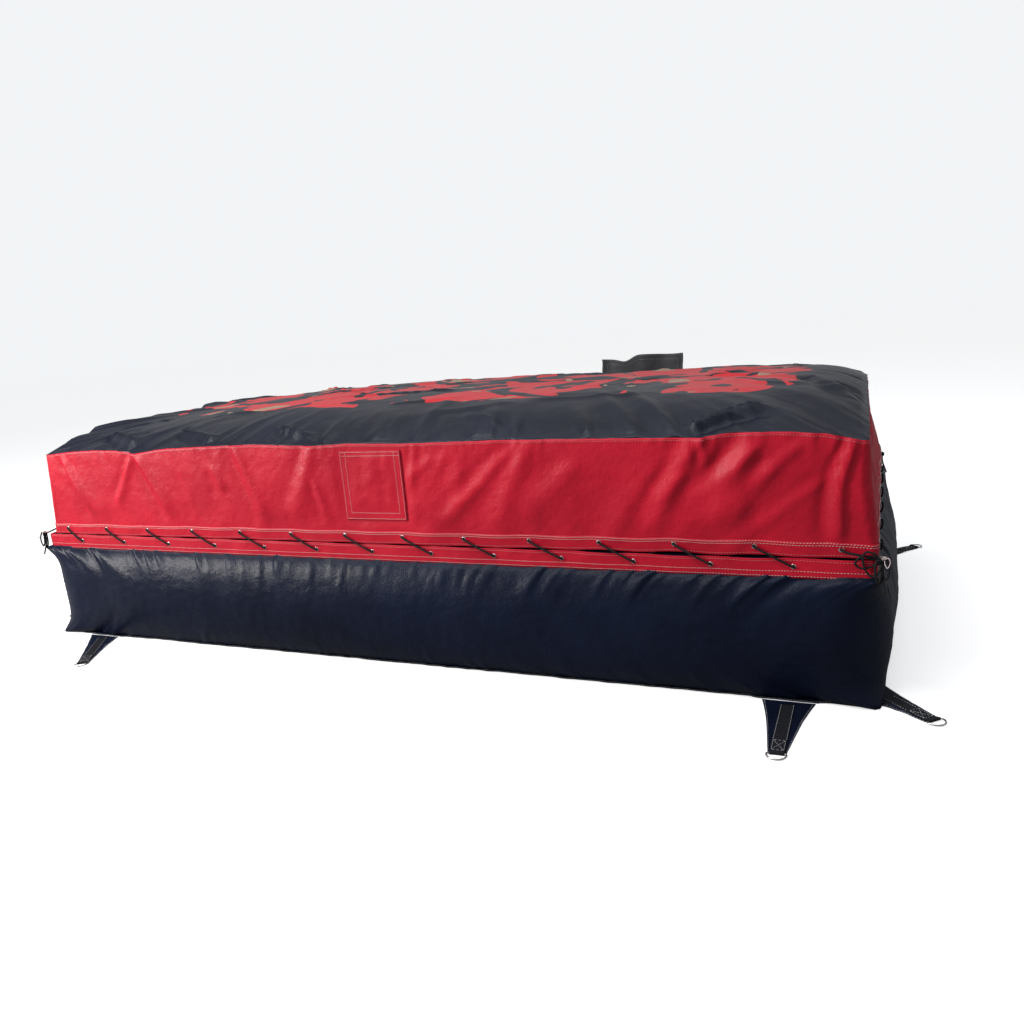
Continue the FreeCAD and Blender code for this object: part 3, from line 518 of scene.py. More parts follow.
def crease(a, b, line, width, depth):
    """Fold along a line on the cloth: a ridge with a shallower hollow on its right-hand side.

    The height is depth times exp(-(d / width)^2), where d is the distance from the line, less half
    as much again at 1.7 widths to the side, and it fades out smoothly at both ends.
    """
    (a0, b0), (a1, b1) = line
    length = math.hypot(a1 - a0, b1 - b0)
    ua, ub = (a1 - a0) / length, (b1 - b0) / length
    t = ((a - a0) * ua + (b - b0) * ub) / length
    d = (a - a0) * ub - (b - b0) * ua
    fade = smooth((t + 0.12) / 0.3) * smooth((1.12 - t) / 0.3)
    spread = width * (0.7 + 0.6 * t)
    shape = np.exp(-(d / spread) ** 2) - 0.55 * np.exp(-((d - 1.7 * spread) / (1.2 * spread)) ** 2)
    return depth * fade * shape


def puckers(a, b, seam, way, count, reach, width, depth, seed, low=-2.0, high=2.0):
    """Short gathers that start at a seam and run away from it, at random places along it."""
    draw = np.random.default_rng(seed)
    total = np.zeros(np.broadcast(a, b).shape)
    away = np.broadcast_to((b - seam) * way, total.shape)
    for _ in range(count):
        middle = draw.uniform(low, high)
        long = reach * draw.uniform(0.45, 1.4)
        wide = width * draw.uniform(0.6, 1.5)
        lean = draw.uniform(-0.18, 0.18)
        tall = depth * draw.uniform(0.3, 1.2)
        d = (a - middle - lean * away) / (wide * (1 + away / long))
        total += tall * np.exp(-d * d) * np.exp(-(np.maximum(away, 0) / long) ** 2)
    return total


WALL_FOOT, WALL_HEAD = 0.004, 0.474
TOP_HEIGHT = 0.5405
WALL_BOW = 0.08
SLEEVE_X, SLEEVE_Z, SLEEVE_HOLE = 0.9, 0.15, 0.128
ring = ring_stations(0.0125, 26)


def base_wall_points(at, w, inwards=0.0):
    """Points of the bowed wall, w from 0 at the bottom seam to 1 at the top one.

    The bow is WALL_BOW (1 - (2w - 1)^2)^0.8, less near the corners, and the corner radius grows
    from a sharp fold at the seams to 0.26 m half way up.
    """
    height = WALL_FOOT + (WALL_HEAD - WALL_FOOT) * w
    belly = np.clip(1 - (2 * w - 1) ** 2, 0, 1)
    place = along_side(at)
    side_run = np.where(at["side"] % 2 == 0, HALF_X, HALF_Y)
    near_corner = smooth((np.abs(place) - side_run + 0.55) / 0.55)
    out = WALL_BOW * belly ** 0.8 * (1 - 0.25 * near_corner) - inwards
    from_sleeve = np.hypot(place + np.where(at["side"] == 2, -SLEEVE_X, 9.0), height - SLEEVE_Z)
    calm = smooth((from_sleeve - 0.17) / 0.14)
    corner = 0.012 + 0.25 * belly ** 0.75
    ear = 0.018 * np.exp(-(np.minimum(w, 1 - w) / 0.10) ** 2) * smooth((near_corner - 0.75) / 0.25)
    out = out + ear
    shift = at["side"] * 2.7
    folds = puckers(place, height, WALL_HEAD, -1, 90, 0.085, 0.010, 0.0065, 11)
    folds = folds + puckers(place, height, WALL_FOOT, 1, 60, 0.07, 0.012, 0.005, 12)
    folds = folds + 0.0035 * ripple(place + shift, height, 0.34, 13) * belly
    folds = folds + 0.0016 * ripple(place + shift, height * 2.5, 0.09, 14) * belly
    out = out + folds * calm
    for corner_way in (-1, 1):
        edge = corner_way * (side_run - 0.03)
        d = (place - edge) * corner_way
        for lift, seam in ((1, 0.0), (-1, 1.0)):
            fall = np.exp(-((w - seam) * lift / 0.30) ** 2)
            out = out - 0.010 * fall * np.exp(-((d + 0.16 + 0.25 * (w - seam) * lift) / 0.05) ** 2)
            out = out + 0.006 * fall * np.exp(-((d + 0.27 + 0.4 * (w - seam) * lift) / 0.05) ** 2)
    return ring_point(at, out, corner, height)


wall_rows = np.linspace(0, 1, 39)[:, None]
wall_points, _ = base_wall_points(ring, wall_rows)
shoulder = []
for out, height in ((-0.004, 0.486), (-0.011, 0.503), (-0.015, 0.516), (-0.015, 0.530), (-0.016, TOP_HEIGHT)):
    shoulder.append(ring_point(ring, out + 0 * wall_rows[:1], 0.03, height)[0])
wall_points = np.concatenate([wall_points] + shoulder, axis=0)


def run_length(points):
    """Distance along the first row of a closed grid of points."""
    steps = np.linalg.norm(np.diff(points[0], axis=0, append=points[0][:1]), axis=1)
    return np.concatenate([[0.0], np.cumsum(steps)[:-1]])


def cloth_uv(points):
    """Place of each point on the cloth: metres along the first row, and metres down its column."""
    along = run_length(points)
    steps = np.linalg.norm(np.diff(points, axis=0), axis=-1).mean(axis=1)
    down = np.concatenate([[0.0], np.cumsum(steps)])
    return np.stack(np.broadcast_arrays(along[None, :], down[:, None]), axis=-1)


def row_middles(grid):
    """Points half way between each row of a grid and the next."""
    return (grid[:-1, :] + grid[1:, :]) / 2


face_middle = row_middles(wall_points)
in_hole = np.hypot(face_middle[..., 0] + SLEEVE_X, face_middle[..., 2] - SLEEVE_Z) < SLEEVE_HOLE
in_hole &= face_middle[..., 1] > 0.9
base_wall_skin = grid_mesh("base_wall_skin", wall_points, closed=True, uv=cloth_uv(wall_points), skip=in_hole)
thicken(base_wall_skin, 0.002)
finish_piece(
    base_wall_skin, "mat", "black_coated_cloth", black_cloth,
    "base_wall_front", "base_wall_right", "base_wall_back", "base_wall_left",
)


def inward_rings(edge, shares):
    """Rings of points from a closed edge in towards the middle line of the mat.

    A point at share q lies at edge + q (middle - edge), where middle is the nearest point of the
    line from x = -1 to x = 1 on the mat's long axis, scaled so that no two points cross.
    """
    line = np.stack([np.clip(edge[:, 0] * (HALF_X - HALF_Y) / HALF_X, -1, 1), 0 * edge[:, 0]], axis=-1)
    return edge[None, :, :2] + shares[:, None, None] * (line - edge[:, :2])[None]


def at_height(plan, height):
    """Points of a plan, all at one height."""
    return np.concatenate([plan, np.full(plan.shape[:2] + (1,), height)], axis=-1)


# Anchor tabs, as side, place along it, lean of the tab to one side, and reach from the mat.
ANCHORS = {
    "front_right": ("front", 1.710, 0.0, 0.386), "front_left": ("front", -1.720, 0.210, 0.318),
    "right_front": ("right", -0.890, -0.170, 0.158), "right_back": ("right", 0.890, 0.170, 0.158),
    "back_right": ("back", -1.710, 0.0, 0.386), "back_left": ("back", 1.720, -0.210, 0.318),
    "left_back": ("left", -0.890, -0.170, 0.158), "left_front": ("left", 0.620, 0.170, 0.158),
}


def tab_reach(at):
    """Extra 11 mm of flange where the anchor tabs are sewn to it, fading out over 30 mm."""
    place, extra = along_side(at), 0.0
    for side, middle, _, _ in ANCHORS.values():
        beside = (np.abs(place - middle) - 0.097) / 0.03
        extra = extra + 0.011 * (at["side"] == SIDES.index(side)) * (1 - smooth(beside))
    return extra


def flange_points(at, w):
    """Bottom seam, where wall and bottom sheet are welded: it stands out 12 mm and ripples."""
    place = along_side(at)
    wave = 0.004 * ripple(place + at["side"] * 1.9, 0 * w, 0.11, 21) + 0.003 * ripple(place, 0 * w, 0.4, 22)
    tip = 0.016 * np.exp(-((at["phi"] - math.pi / 4) / 0.45) ** 2) * (at["phi"] > 0)
    out = -0.012 + (0.024 + tip + wave + tab_reach(at)) * w
    out = np.where(tab_reach(at) > 0, np.minimum(out, 0.0195), out)
    lift = 0.0030 + 0.0045 * np.abs(ripple(place + at["side"], 0 * w, 0.16, 23)) * w
    return ring_point(at, out, 0.035, lift)


flange, _ = flange_points(ring, np.linspace(1, 0, 7)[:, None])
under = at_height(inward_rings(flange[-1], np.linspace(0.05, 1.0, 9)), 0.0012)
bottom_points = np.concatenate([flange, under], axis=0)
bottom_sheet = grid_mesh("bottom_sheet", bottom_points, closed=True, uv=cloth_uv(bottom_points), flip=True)
weld(thicken(bottom_sheet, 0.0016, 0.0))
finish_piece(bottom_sheet, "mat", "black_coated_cloth", black_cloth, "base_bottom_panel")

plan = inward_rings(wall_points[-1], np.linspace(0, 1.0, 12))
over = at_height(plan, TOP_HEIGHT)
off_edge = np.arange(len(plan))[:, None] > 0
over[..., 2] += 0.002 * ripple(over[..., 0], over[..., 1], 0.5, 24) * off_edge - 0.002
base_top_sheet = grid_mesh("base_top_sheet", over, closed=True, uv=cloth_uv(over))
weld(thicken(base_top_sheet, 0.0016))
finish_piece(base_top_sheet, "mat", "black_coated_cloth", black_cloth, "base_top_panel")


# ---------------------------------------------------------------- lacing band
# Doubled strip of the red cloth, folded along its top edge and sewn with one row to the base's
# shoulders. It carries the lower row of eyelets and stands up 74 mm.
RED = ((0.56, 0.006, 0.026), (0.40, 0.004, 0.020))
red_cloth = coated("red_coated_cloth", *RED, 0.42, 0.8, 0.05, 0.22)
BAND_LOW, BAND_HIGH = 0.470, 0.544
LACE_PITCH, LACE_SHIFT = 0.2939, 0.131


def lace_gap(at):
    """Half the gap between band and hem: 2 mm at the eyelets, more between them and at one end."""
    place = along_side(at)
    loose = np.where(at["side"] == 0, np.exp(-((place - 1.35) / 0.42) ** 2), 0.25)
    between = (1 - np.cos(place * math.tau / LACE_PITCH)) / 2
    return 0.0012 + (0.0022 + 0.0032 * loose) * between + 0.0016 * loose


def band_wave(at, w):
    """Small outward waves of the band, less along its seam."""
    place = along_side(at)
    tug = np.cos((place - LACE_SHIFT) * math.tau / LACE_PITCH)
    wave = 0.0022 * ripple(place + at["side"] * 3.1, w * 0.1, 0.13, 31) + 0.0012 * tug
    return wave * (0.35 + 0.65 * w)


def band_points(at, w, depth):
    """Band at height share w from seam to fold, depth metres in front of its middle layer."""
    place = along_side(at)
    droop = 0.0035 * ripple(place + at["side"] * 1.3, 0 * w, 0.42, 32) * w
    droop = droop * 0.4 - lace_gap(at) * w
    height = BAND_LOW + (BAND_HIGH - BAND_LOW) * w + droop
    return ring_point(at, 0.00265 + depth + band_wave(at, w), 0.022 + depth, height)


def folded_strip(points_at, low, high, half, rows):
    """Closed cross-section of a doubled strip: up its face, round its fold and down its back.

    points_at(w, depth) gives the place at height share w; the face is half outside the middle.
    """
    share = np.linspace(low, high, rows)
    bend = np.linspace(math.pi / 2, -math.pi / 2, 5)[1:-1]
    parts = [points_at(w, half) for w in share]
    for depth, lift in zip(half * np.sin(bend), half * np.cos(bend)):
        parts.append(points_at(high, depth) + np.array([0.0, 0.0, 1.0]) * lift)
    parts += [points_at(w, -half) for w in share[::-1]]
    return np.stack(parts + parts[:1], axis=0)


def band_layer(w, depth):
    """One line of the band, once round the mat."""
    return band_points(ring, np.array([[w]]), depth)[0][0]


band_grid = folded_strip(band_layer, 0.0, 1.0, 0.0022, 7)
band_skin = grid_mesh("lacing_band_skin", band_grid, closed=True, uv=cloth_uv(band_grid))
weld(band_skin)
finish_piece(band_skin, "mat", "red_coated_cloth", red_cloth, "lacing_band")


# ---------------------------------------------------------------- cover sides
# Four red skirts sewn into one loop. They hang from the cover's top seam down to a doubled hem
# that carries the upper eyelets. Both ends of the cover are drawn in at the top by its tight seams.
SKIRT_FOOT, SEAM = 0.547, 0.958
HEM_HIGH = 0.600
SKIRT_OUT = 0.0025
FRONT_EDGE = np.array([
    (-2.0, 0.961), (-1.80, 0.975), (-1.62, 0.980), (-1.45, 0.977), (-1.314, 0.960), (-1.13, 0.980),
    (-0.88, 0.987), (-0.59, 0.991), (-0.32, 0.980), (-0.215, 0.980), (-0.086, 0.986), (0.18, 0.981),
    (0.64, 0.987), (0.89, 0.986), (1.2, 0.983), (1.42, 0.980), (1.52, 0.992), (1.62, 0.996),
    (1.755, 0.994), (1.88, 0.985), (2.0, 0.959),
])
BACK_EDGE = np.array([
    (-2.0, 0.959), (-1.6, 0.990), (-1.2, 0.982), (-1.0, 0.964), (-0.94, 0.9605), (-0.45, 0.9605),
    (-0.38, 0.966), (-0.1, 0.985), (0.3, 0.972), (0.5, 0.983), (1.0, 0.992), (1.4, 0.986),
    (1.7, 0.990), (2.0, 0.960),
])
END_EDGE = np.array([
    (-1.0, 0.960), (-0.8, 0.984), (-0.45, 0.990), (-0.2, 0.976), (0.1, 0.988), (0.5, 0.985),
    (0.8, 0.980), (1.0, 0.959),
])
FLAP_X, FLAP_LOW, FLAP_HALF = 0.03, 0.655, 0.15
REAR_X = 0.695


def seam_height(at):
    """Height of the top seam, which bows up between corners and is pinched in places."""
    place, height = along_side(at), 0.0
    for number, (edge, way) in enumerate(((FRONT_EDGE, 1), (END_EDGE, 1), (BACK_EDGE, 1), (END_EDGE, -1))):
        height = np.where(at["side"] == number, np.interp(way * place, edge[:, 0], edge[:, 1]), height)
    return height + 0.0012 * ripple(place + at["side"], 0 * place, 0.07, 41)


def drawn_in(points):
    """Pulls the ends of the cover in towards the middle of the mat.

    The left end moves by (0.045 + 0.045 h) b^2 and the right one by (0.050 + 0.022 y) h b^2, where b
    runs from 0 at 0.9 m from the middle to 1 at the end, and h from 0 at the hem to 1 at the seam.
    """
    x, y, z = points[..., 0], points[..., 1], points[..., 2]
    left = np.clip((-0.9 - x) / 1.1, 0, 1.05) ** 2 * (0.045 + 0.045 * np.clip((z - 0.50) / 0.45, 0, 1))
    right = np.clip((x - 0.9) / 1.1, 0, 1.0) ** 2 * (0.050 + 0.022 * y) * np.clip((z - 0.58) / 0.24, 0, 1)
    moved = points.copy()
    moved[..., 0] += left - right
    return moved


def skirt_relief(at, w):
    """Outward relief of the skirt: broad belly, slanting folds, gathers under the seam, ripples."""
    place = along_side(at)
    height = SKIRT_FOOT + (SEAM - SKIRT_FOOT) * w
    a, b = np.broadcast_arrays(place + 0.0 * w, height + 0.0 * place)
    belly = np.clip(1 - (2 * w - 1) ** 2, 0, 1)
    total = 0.010 * belly * (0.7 + 0.5 * ripple(place + at["side"] * 4.0, 0 * w, 1.3, 42))
    draw = np.random.default_rng(43)
    for number in range(4):
        run = HALF_X if number % 2 == 0 else HALF_Y
        here = (at["side"] == number).astype(float)
        for _ in range(26 if number % 2 == 0 else 13):
            top = draw.uniform(-run + 0.08, run - 0.08)
            lean = (0.25 if top < 0 else -0.25) + draw.uniform(-0.22, 0.22)
            high = draw.uniform(0.80, 0.97)
            low = high - draw.uniform(0.10, 0.34)
            line = ((top, high), (top + lean * (high - low) / 0.3, low))
            wide, deep = draw.uniform(0.018, 0.046), draw.uniform(0.002, 0.007)
            total = total + here * crease(a, b, line, wide, deep)
    hand = (at["side"] == 0).astype(float)
    for line, wide, deep in (
        (((1.965, 0.955), (1.90, 0.60)), 0.020, 0.015), (((1.44, 0.985), (1.24, 0.62)), 0.036, 0.010),
        (((1.42, 0.985), (1.47, 0.86)), 0.014, 0.007), (((1.66, 0.97), (1.52, 0.64)), 0.050, 0.009),
        (((0.78, 0.97), (0.60, 0.62)), 0.044, 0.009), (((-0.25, 0.975), (-0.40, 0.66)), 0.036, 0.008),
        (((-1.32, 0.955), (-1.14, 0.66)), 0.030, 0.014), (((-1.34, 0.955), (-1.50, 0.70)), 0.020, 0.009),
        (((-0.70, 0.97), (-0.56, 0.64)), 0.032, 0.011), (((-1.88, 0.94), (-1.70, 0.66)), 0.024, 0.012),
    ):
        total = total + hand * crease(a, b, line, wide, deep)
    total = total + puckers(a, b, SEAM, -1, 70, 0.05, 0.008, 0.004, 44)
    total = total + 0.0036 * ripple(a + at["side"] * 2.2, b * 0.6, 0.21, 45) * (0.3 + belly)
    total = total + 0.0009 * ripple(a + at["side"], b * 1.5, 0.06, 46)
    tug = np.cos(place * math.tau / LACE_PITCH)
    total = total + 0.002 * tug * np.exp(-((b - 0.575) / 0.05) ** 2)
    beside = np.maximum(np.abs(a - FLAP_X) - FLAP_HALF, FLAP_LOW - b)
    flat = np.where(at["side"] == 0, smooth((beside - 0.004) / 0.05), 1.0)
    rear = np.maximum(np.abs(a + REAR_X) - 0.27, 0.74 - b)
    flat = np.where(at["side"] == 2, np.maximum(smooth(rear / 0.06), 0.02), flat)
    return np.clip(total, -0.008, 0.032) * flat


def skirt_points(at, w, extra=0.0):
    """Skirt at height share w from its foot to the top seam, extra metres further out."""
    place = along_side(at)
    top = seam_height(at)
    foot = SKIRT_FOOT + 0.0012 * ripple(place + at["side"] * 0.7, 0 * place, 0.5, 47) + lace_gap(at)
    height = foot + (top - foot) * w
    out = SKIRT_OUT + skirt_relief(at, w) + extra
    points, way = ring_point(at, out, 0.020 + 0.03 * (1 - (2 * w - 1) ** 2), height)
    return drawn_in(points), way


skirt_grid, _ = skirt_points(ring, np.linspace(0, 1, 41)[:, None])
face_middle = row_middles(skirt_grid)
face_x, face_y, face_z = np.moveaxis((face_middle + np.roll(face_middle, -1, axis=1)) / 2, -1, 0)
in_vent = np.zeros(face_x.shape, bool)
# The openings behind the two vent flaps, as wall, middle x and z, and half width and height.
for wall, x, z, half_wide, half_high in ((-1, FLAP_X, 0.805, 0.1, 0.1), (1, REAR_X, 0.867, 0.2, 0.065)):
    in_vent |= (np.abs(face_x - x) < half_wide) & (np.abs(face_z - z) < half_high) & (face_y * wall > 0.9)
skirt_skin = grid_mesh("cover_skirt_skin", skirt_grid, closed=True, uv=cloth_uv(skirt_grid), skip=in_vent)
thicken(skirt_skin, 0.0014)
finish_piece(
    skirt_skin, "mat", "red_coated_cloth", red_cloth,
    "cover_skirt_front", "cover_skirt_right", "cover_skirt_back", "cover_skirt_left",
)


def hem_layer(w, depth):
    """One line of the hem, once round the mat."""
    return skirt_points(ring, np.array([[w]]), 0.0014 + depth)[0][0]


SKIRT_HEIGHT = SEAM - SKIRT_FOOT
hem_share = (HEM_HIGH - SKIRT_FOOT) / SKIRT_HEIGHT
hem_grid = folded_strip(hem_layer, hem_share, 0.002, 0.0011, 6)
hem_grid[6:9, :, 2] -= 2 * (hem_grid[6:9, :, 2] - hem_grid[5:6, :, 2])
hem_skin = grid_mesh("skirt_hem_skin", hem_grid, closed=True, uv=cloth_uv(hem_grid), flip=True)
weld(hem_skin)
finish_piece(hem_skin, "mat", "red_coated_cloth", red_cloth, "skirt_hem")


# ---------------------------------------------------------------- cover top
# One large sheet of black coated cloth with a printed figure. The landing cushion under it crowns it
# by 160 mm, and it is gathered into the top seam, so that creases run in from the edges.
CROWN_LINE = np.array([
    (-2.02, 0.0), (-1.93, 0.050), (-1.8, 0.084), (-1.6, 0.110), (-1.4, 0.124), (-0.8, 0.150),
    (-0.4, 0.160), (0.2, 0.158), (0.6, 0.154), (1.2, 0.148), (1.6, 0.138), (1.75, 0.122),
    (1.85, 0.092), (1.93, 0.045), (1.98, 0.0),
])


def crown_rise(x):
    """Height of the crown's ridge over the seam at x, smoothed over its table of heights."""
    fine = np.linspace(-2.1, 2.1, 421)
    rise = np.interp(fine, CROWN_LINE[:, 0], CROWN_LINE[:, 1])
    kernel = np.exp(-np.linspace(-2, 2, 9) ** 2)
    rise = np.convolve(np.pad(rise, 4, mode="edge"), kernel / kernel.sum(), mode="valid")
    return np.interp(x, fine, rise)


def top_relief(x, y, edge_place, inside):
    """Creases of the top sheet, inside metres from its edge at edge_place along it.

    There are none beside the rear flap, which can lean in over the sheet.
    """
    total = puckers(edge_place, inside, 0.0, 1, 110, 0.20, 0.014, 0.010, 51, -6.0, 6.0)
    total = total + puckers(edge_place, inside, 0.0, 1, 40, 0.42, 0.034, 0.021, 52, -6.0, 6.0)
    total = total + 0.0045 * ripple(x, y, 0.45, 53, 9) + 0.0028 * ripple(x, y, 0.17, 54, 9)
    draw = np.random.default_rng(55)
    for _ in range(46):
        cx, cy = draw.uniform(-1.8, 1.8), draw.uniform(-0.9, 0.9)
        turn, long = draw.uniform(0, math.tau), draw.uniform(0.12, 0.5)
        dx, dy = long * math.cos(turn) / 2, long * math.sin(turn) / 4
        line = ((cx - dx, cy - dy), (cx + dx, cy + dy))
        total = total + crease(x, y, line, draw.uniform(0.010, 0.03), draw.uniform(0.003, 0.010))
    for line, wide, deep in (
        (((1.36, -0.965), (1.62, -0.80)), 0.024, 0.030), (((-1.60, -0.84), (-1.32, -0.965)), 0.024, 0.028),
        (((-1.12, -0.86), (-0.82, -0.965)), 0.022, 0.022), (((-0.52, -0.88), (-0.25, -0.965)), 0.020, 0.018),
        (((1.72, -0.2), (1.95, -0.62)), 0.03, 0.016), (((0.62, -0.93), (0.40, -0.80)), 0.020, 0.014),
    ):
        total = total + crease(x, y, line, wide, deep)
    by_rear_flap = smooth((y - 0.70) / 0.15) * smooth((0.42 - np.abs(x - REAR_X)) / 0.12)
    return total * (1 - by_rear_flap)


def crowned(plan, edge_height, extra=0.0):
    """Points of a plan, crowned: the ridge's height times 1 - (y / half width)^4 over its edge."""
    v = np.clip(plan[..., 1] / HALF_Y, -1, 1)
    height = edge_height + crown_rise(plan[..., 0]) * (1 - v ** 4) + extra
    return np.concatenate([plan, height[..., None]], axis=-1)


seam_row = skirt_points(ring, np.array([[1.0]]))[0][0]
top_shares = np.concatenate([np.linspace(0, 0.12, 13), np.linspace(0.12, 1.0, 52)[1:]])
plan = inward_rings(seam_row, top_shares)
edge_run = run_length(seam_row[None])
edge_run = edge_run - edge_run.max() / 2
edge_z = SEAM + (seam_row[None, :, 2] - SEAM) * (1 - top_shares[:, None]) ** 3
depth_in = np.minimum(HALF_X - np.abs(plan[..., 0]), HALF_Y - np.abs(plan[..., 1]))
relief = top_relief(plan[..., 0], plan[..., 1], edge_run[None, :], depth_in)
hold = smooth(top_shares / 0.035)[:, None]
top_grid = crowned(plan, edge_z, relief * hold)
top_sheet = grid_mesh("cover_top_skin", top_grid, closed=True, uv=cloth_uv(top_grid))
weld(thicken(top_sheet, 0.0014))


def printed_figure(tree, colour):
    """Abstract print: red ribbons and small tan dashes, within the middle of the sheet."""
    place = object_place(tree)
    split = add(tree, "ShaderNodeSeparateXYZ", Vector=place)
    powers = []
    for axis, half in (("X", 1.72), ("Y", 0.60)):
        share = math_node(tree, "ABSOLUTE", math_node(tree, "DIVIDE", split.outputs[axis], half))
        powers.append(math_node(tree, "POWER", share, 4.0))
    inside = math_node(tree, "SUBTRACT", 1.0, math_node(tree, "ADD", *powers))
    warp = add(tree, "ShaderNodeTexNoise", Vector=place, Scale=1.7, Detail=3.0, Distortion=1.5)
    edge = math_node(tree, "MULTIPLY_ADD", warp.outputs["Fac"], 1.6, -0.8)
    region = math_node(tree, "GREATER_THAN", math_node(tree, "ADD", inside, edge), 0.0)
    for scale, detail, distortion, share, ink in (
        (2.4, 1.5, 1.8, 0.50, (0.52, 0.012, 0.020)), (4.6, 1.0, 0.6, 0.68, (0.30, 0.20, 0.13)),
    ):
        blots = add(tree, "ShaderNodeTexNoise", Vector=place, Scale=scale, Detail=detail, Distortion=distortion)
        inked = math_node(tree, "MULTIPLY", region, math_node(tree, "GREATER_THAN", blots.outputs["Fac"], share))
        colour = mix_colour(tree, inked, colour, ink)
    return colour


printed_cloth = coated(
    "printed_top_cloth", (0.006, 0.008, 0.020), (0.003, 0.004, 0.011), 0.31, 0.45, 0.03, 0.22, printed_figure,
)
finish_piece(top_sheet, "mat", "printed_top_cloth", printed_cloth, "cover_top_panel")


# ---------------------------------------------------------------- landing cushion
# Black inner cushion that the cover is laced over, 15 mm inside it all round. Only its vents
# could be seen, through the mesh behind the cover's openings.
CUSHION_FOOT = 0.551
cushion_ring = ring_stations(0.05, 8)
cushion_rows = []
for share in np.linspace(0, 1, 9):
    bow = -0.020 + 0.004 * (1 - (2 * share - 1) ** 2)
    wall, _ = ring_point(cushion_ring, bow, 0.06, CUSHION_FOOT + 0.396 * share)
    cushion_rows.append(drawn_in(wall))
lid = crowned(inward_rings(cushion_rows[-1], np.linspace(0, 1, 26)[1:]), 0.943)
sole = at_height(inward_rings(cushion_rows[0], np.linspace(1, 0, 12)[:-1]), CUSHION_FOOT)
cushion_grid = np.concatenate([sole, np.stack(cushion_rows), lid], axis=0)
cushion_skin = grid_mesh("landing_cushion_skin", cushion_grid, closed=True, uv=cloth_uv(cushion_grid))
weld(cushion_skin)
finish_piece(cushion_skin, "mat", "black_coated_cloth", black_cloth, "cushion_tub", "cushion_top_panel")


# ---------------------------------------------------------------- eyelets
# Two-part plated eyelets pressed through band and hem, 19 mm across, with rolled flanges on both
# faces. The lower row sits half a step to the right of the upper one.
def metal_group():
    """Height and roughness of plated steel: hairline scratches, small pits and cloudy tarnish."""
    group, come, go = new_group(
        "plated_metal", {"Scratch scale": 300.0, "Tarnish": 0.4}, ("Height", "Roughness", "Tarnish mask"),
    )
    place = object_place(group)
    scratch = add(
        group, "ShaderNodeTexNoise", Vector=place, Scale=come["Scratch scale"], Detail=4.0, Distortion=3.0,
    )
    cloud = add(group, "ShaderNodeTexNoise", Vector=place, Scale=60.0, Detail=4.0)
    group.links.new(math_node(group, "MULTIPLY", scratch.outputs["Fac"], 0.00012), go["Height"])
    group.links.new(math_node(group, "MULTIPLY_ADD", cloud.outputs["Fac"], 0.25, 0.14), go["Roughness"])
    stain = math_node(group, "POWER", cloud.outputs["Fac"], 2.5)
    group.links.new(math_node(group, "MULTIPLY", stain, come["Tarnish"]), go["Tarnish mask"])
    return group


plated_steel, tree, shader = new_material("plated_steel", 0.25, Metallic=1.0)
metal = add(tree, "ShaderNodeGroup", node_tree=metal_group())
colour = mix_colour(tree, metal.outputs["Tarnish mask"], (0.66, 0.65, 0.62), (0.28, 0.24, 0.20))
dress(tree, shader, colour, metal.outputs["Height"], 0.5, roughness=metal.outputs["Roughness"])

LONG_EYES, SHORT_EYES = 14, 7
UPPER_EYE, LOWER_EYE = 0.575, 0.513
EYE_PROFILE = np.array([
    (5.2, -2.6), (5.2, 2.6), (5.6, 3.3), (6.6, 3.7), (8.2, 3.55), (9.3, 3.0), (9.5, 2.5),
    (9.5, -2.5), (9.3, -3.0), (8.2, -3.55), (6.6, -3.7), (5.6, -3.3), (5.2, -2.6),
]) / 1000


def eye_stations(upper):
    """Stations of one row of eyelets, side by side round the mat."""
    number, place = [], []
    for k, side in enumerate(SIDES):
        count = LONG_EYES if side in ("front", "back") else SHORT_EYES
        first = -LACE_PITCH * (count - 1) / 2
        x = first + LACE_PITCH * np.arange(count if upper else count - 1) + (0 if upper else LACE_SHIFT)
        number.append(np.full(len(x), k))
        place.append(x / run_and_reach(side)[0])
    number, place = np.concatenate(number), np.concatenate(place)
    return {"side": number, "t": place, "phi": 0.0 * place}


def upper_eyes():
    """Stations, centres and outward directions of the eyelets in the hem."""
    at = eye_stations(True)
    points, way = skirt_points(at, np.full((1, 1), (UPPER_EYE - SKIRT_FOOT) / SKIRT_HEIGHT), 0.0002)
    return at, points[0], way[0] if way.ndim == 3 else way


def lower_eyes():
    """Stations, centres and outward directions of the eyelets in the band."""
    at = eye_stations(False)
    points, way = band_points(at, np.full((1, 1), (LOWER_EYE - BAND_LOW) / (BAND_HIGH - BAND_LOW)), 0.0)
    return at, points[0], way[0] if way.ndim == 3 else way


def ring_quads(count, rows, segments):
    """Point numbers of count tubes of rows rings each, and the quads between their rings."""
    index = np.arange(count * rows * segments).reshape(count, rows, segments)
    nxt = np.roll(index, -1, axis=2)
    return index, np.stack([index[:, :-1], nxt[:, :-1], nxt[:, 1:], index[:, 1:]], axis=-1).reshape(-1, 4)


def revolved(centres, ways, profile, segments):
    """Points and quads of one profile turned about each centre's outward direction.

    A profile point (r, d) gives a ring of radius r at distance d along the direction.
    """
    angle = np.linspace(0, math.tau, segments, endpoint=False)[None, None, :, None]
    across = np.cross([0.0, 0.0, 1.0], ways)[:, None, None]
    r, d = profile[None, :, 0, None, None], profile[None, :, 1, None, None]
    spoke = across * np.cos(angle) + np.array([0.0, 0.0, 1.0]) * np.sin(angle)
    points = centres[:, None, None] + spoke * r + ways[:, None, None] * d
    return points.reshape(-1, 3), ring_quads(len(centres), len(profile), segments)[1]


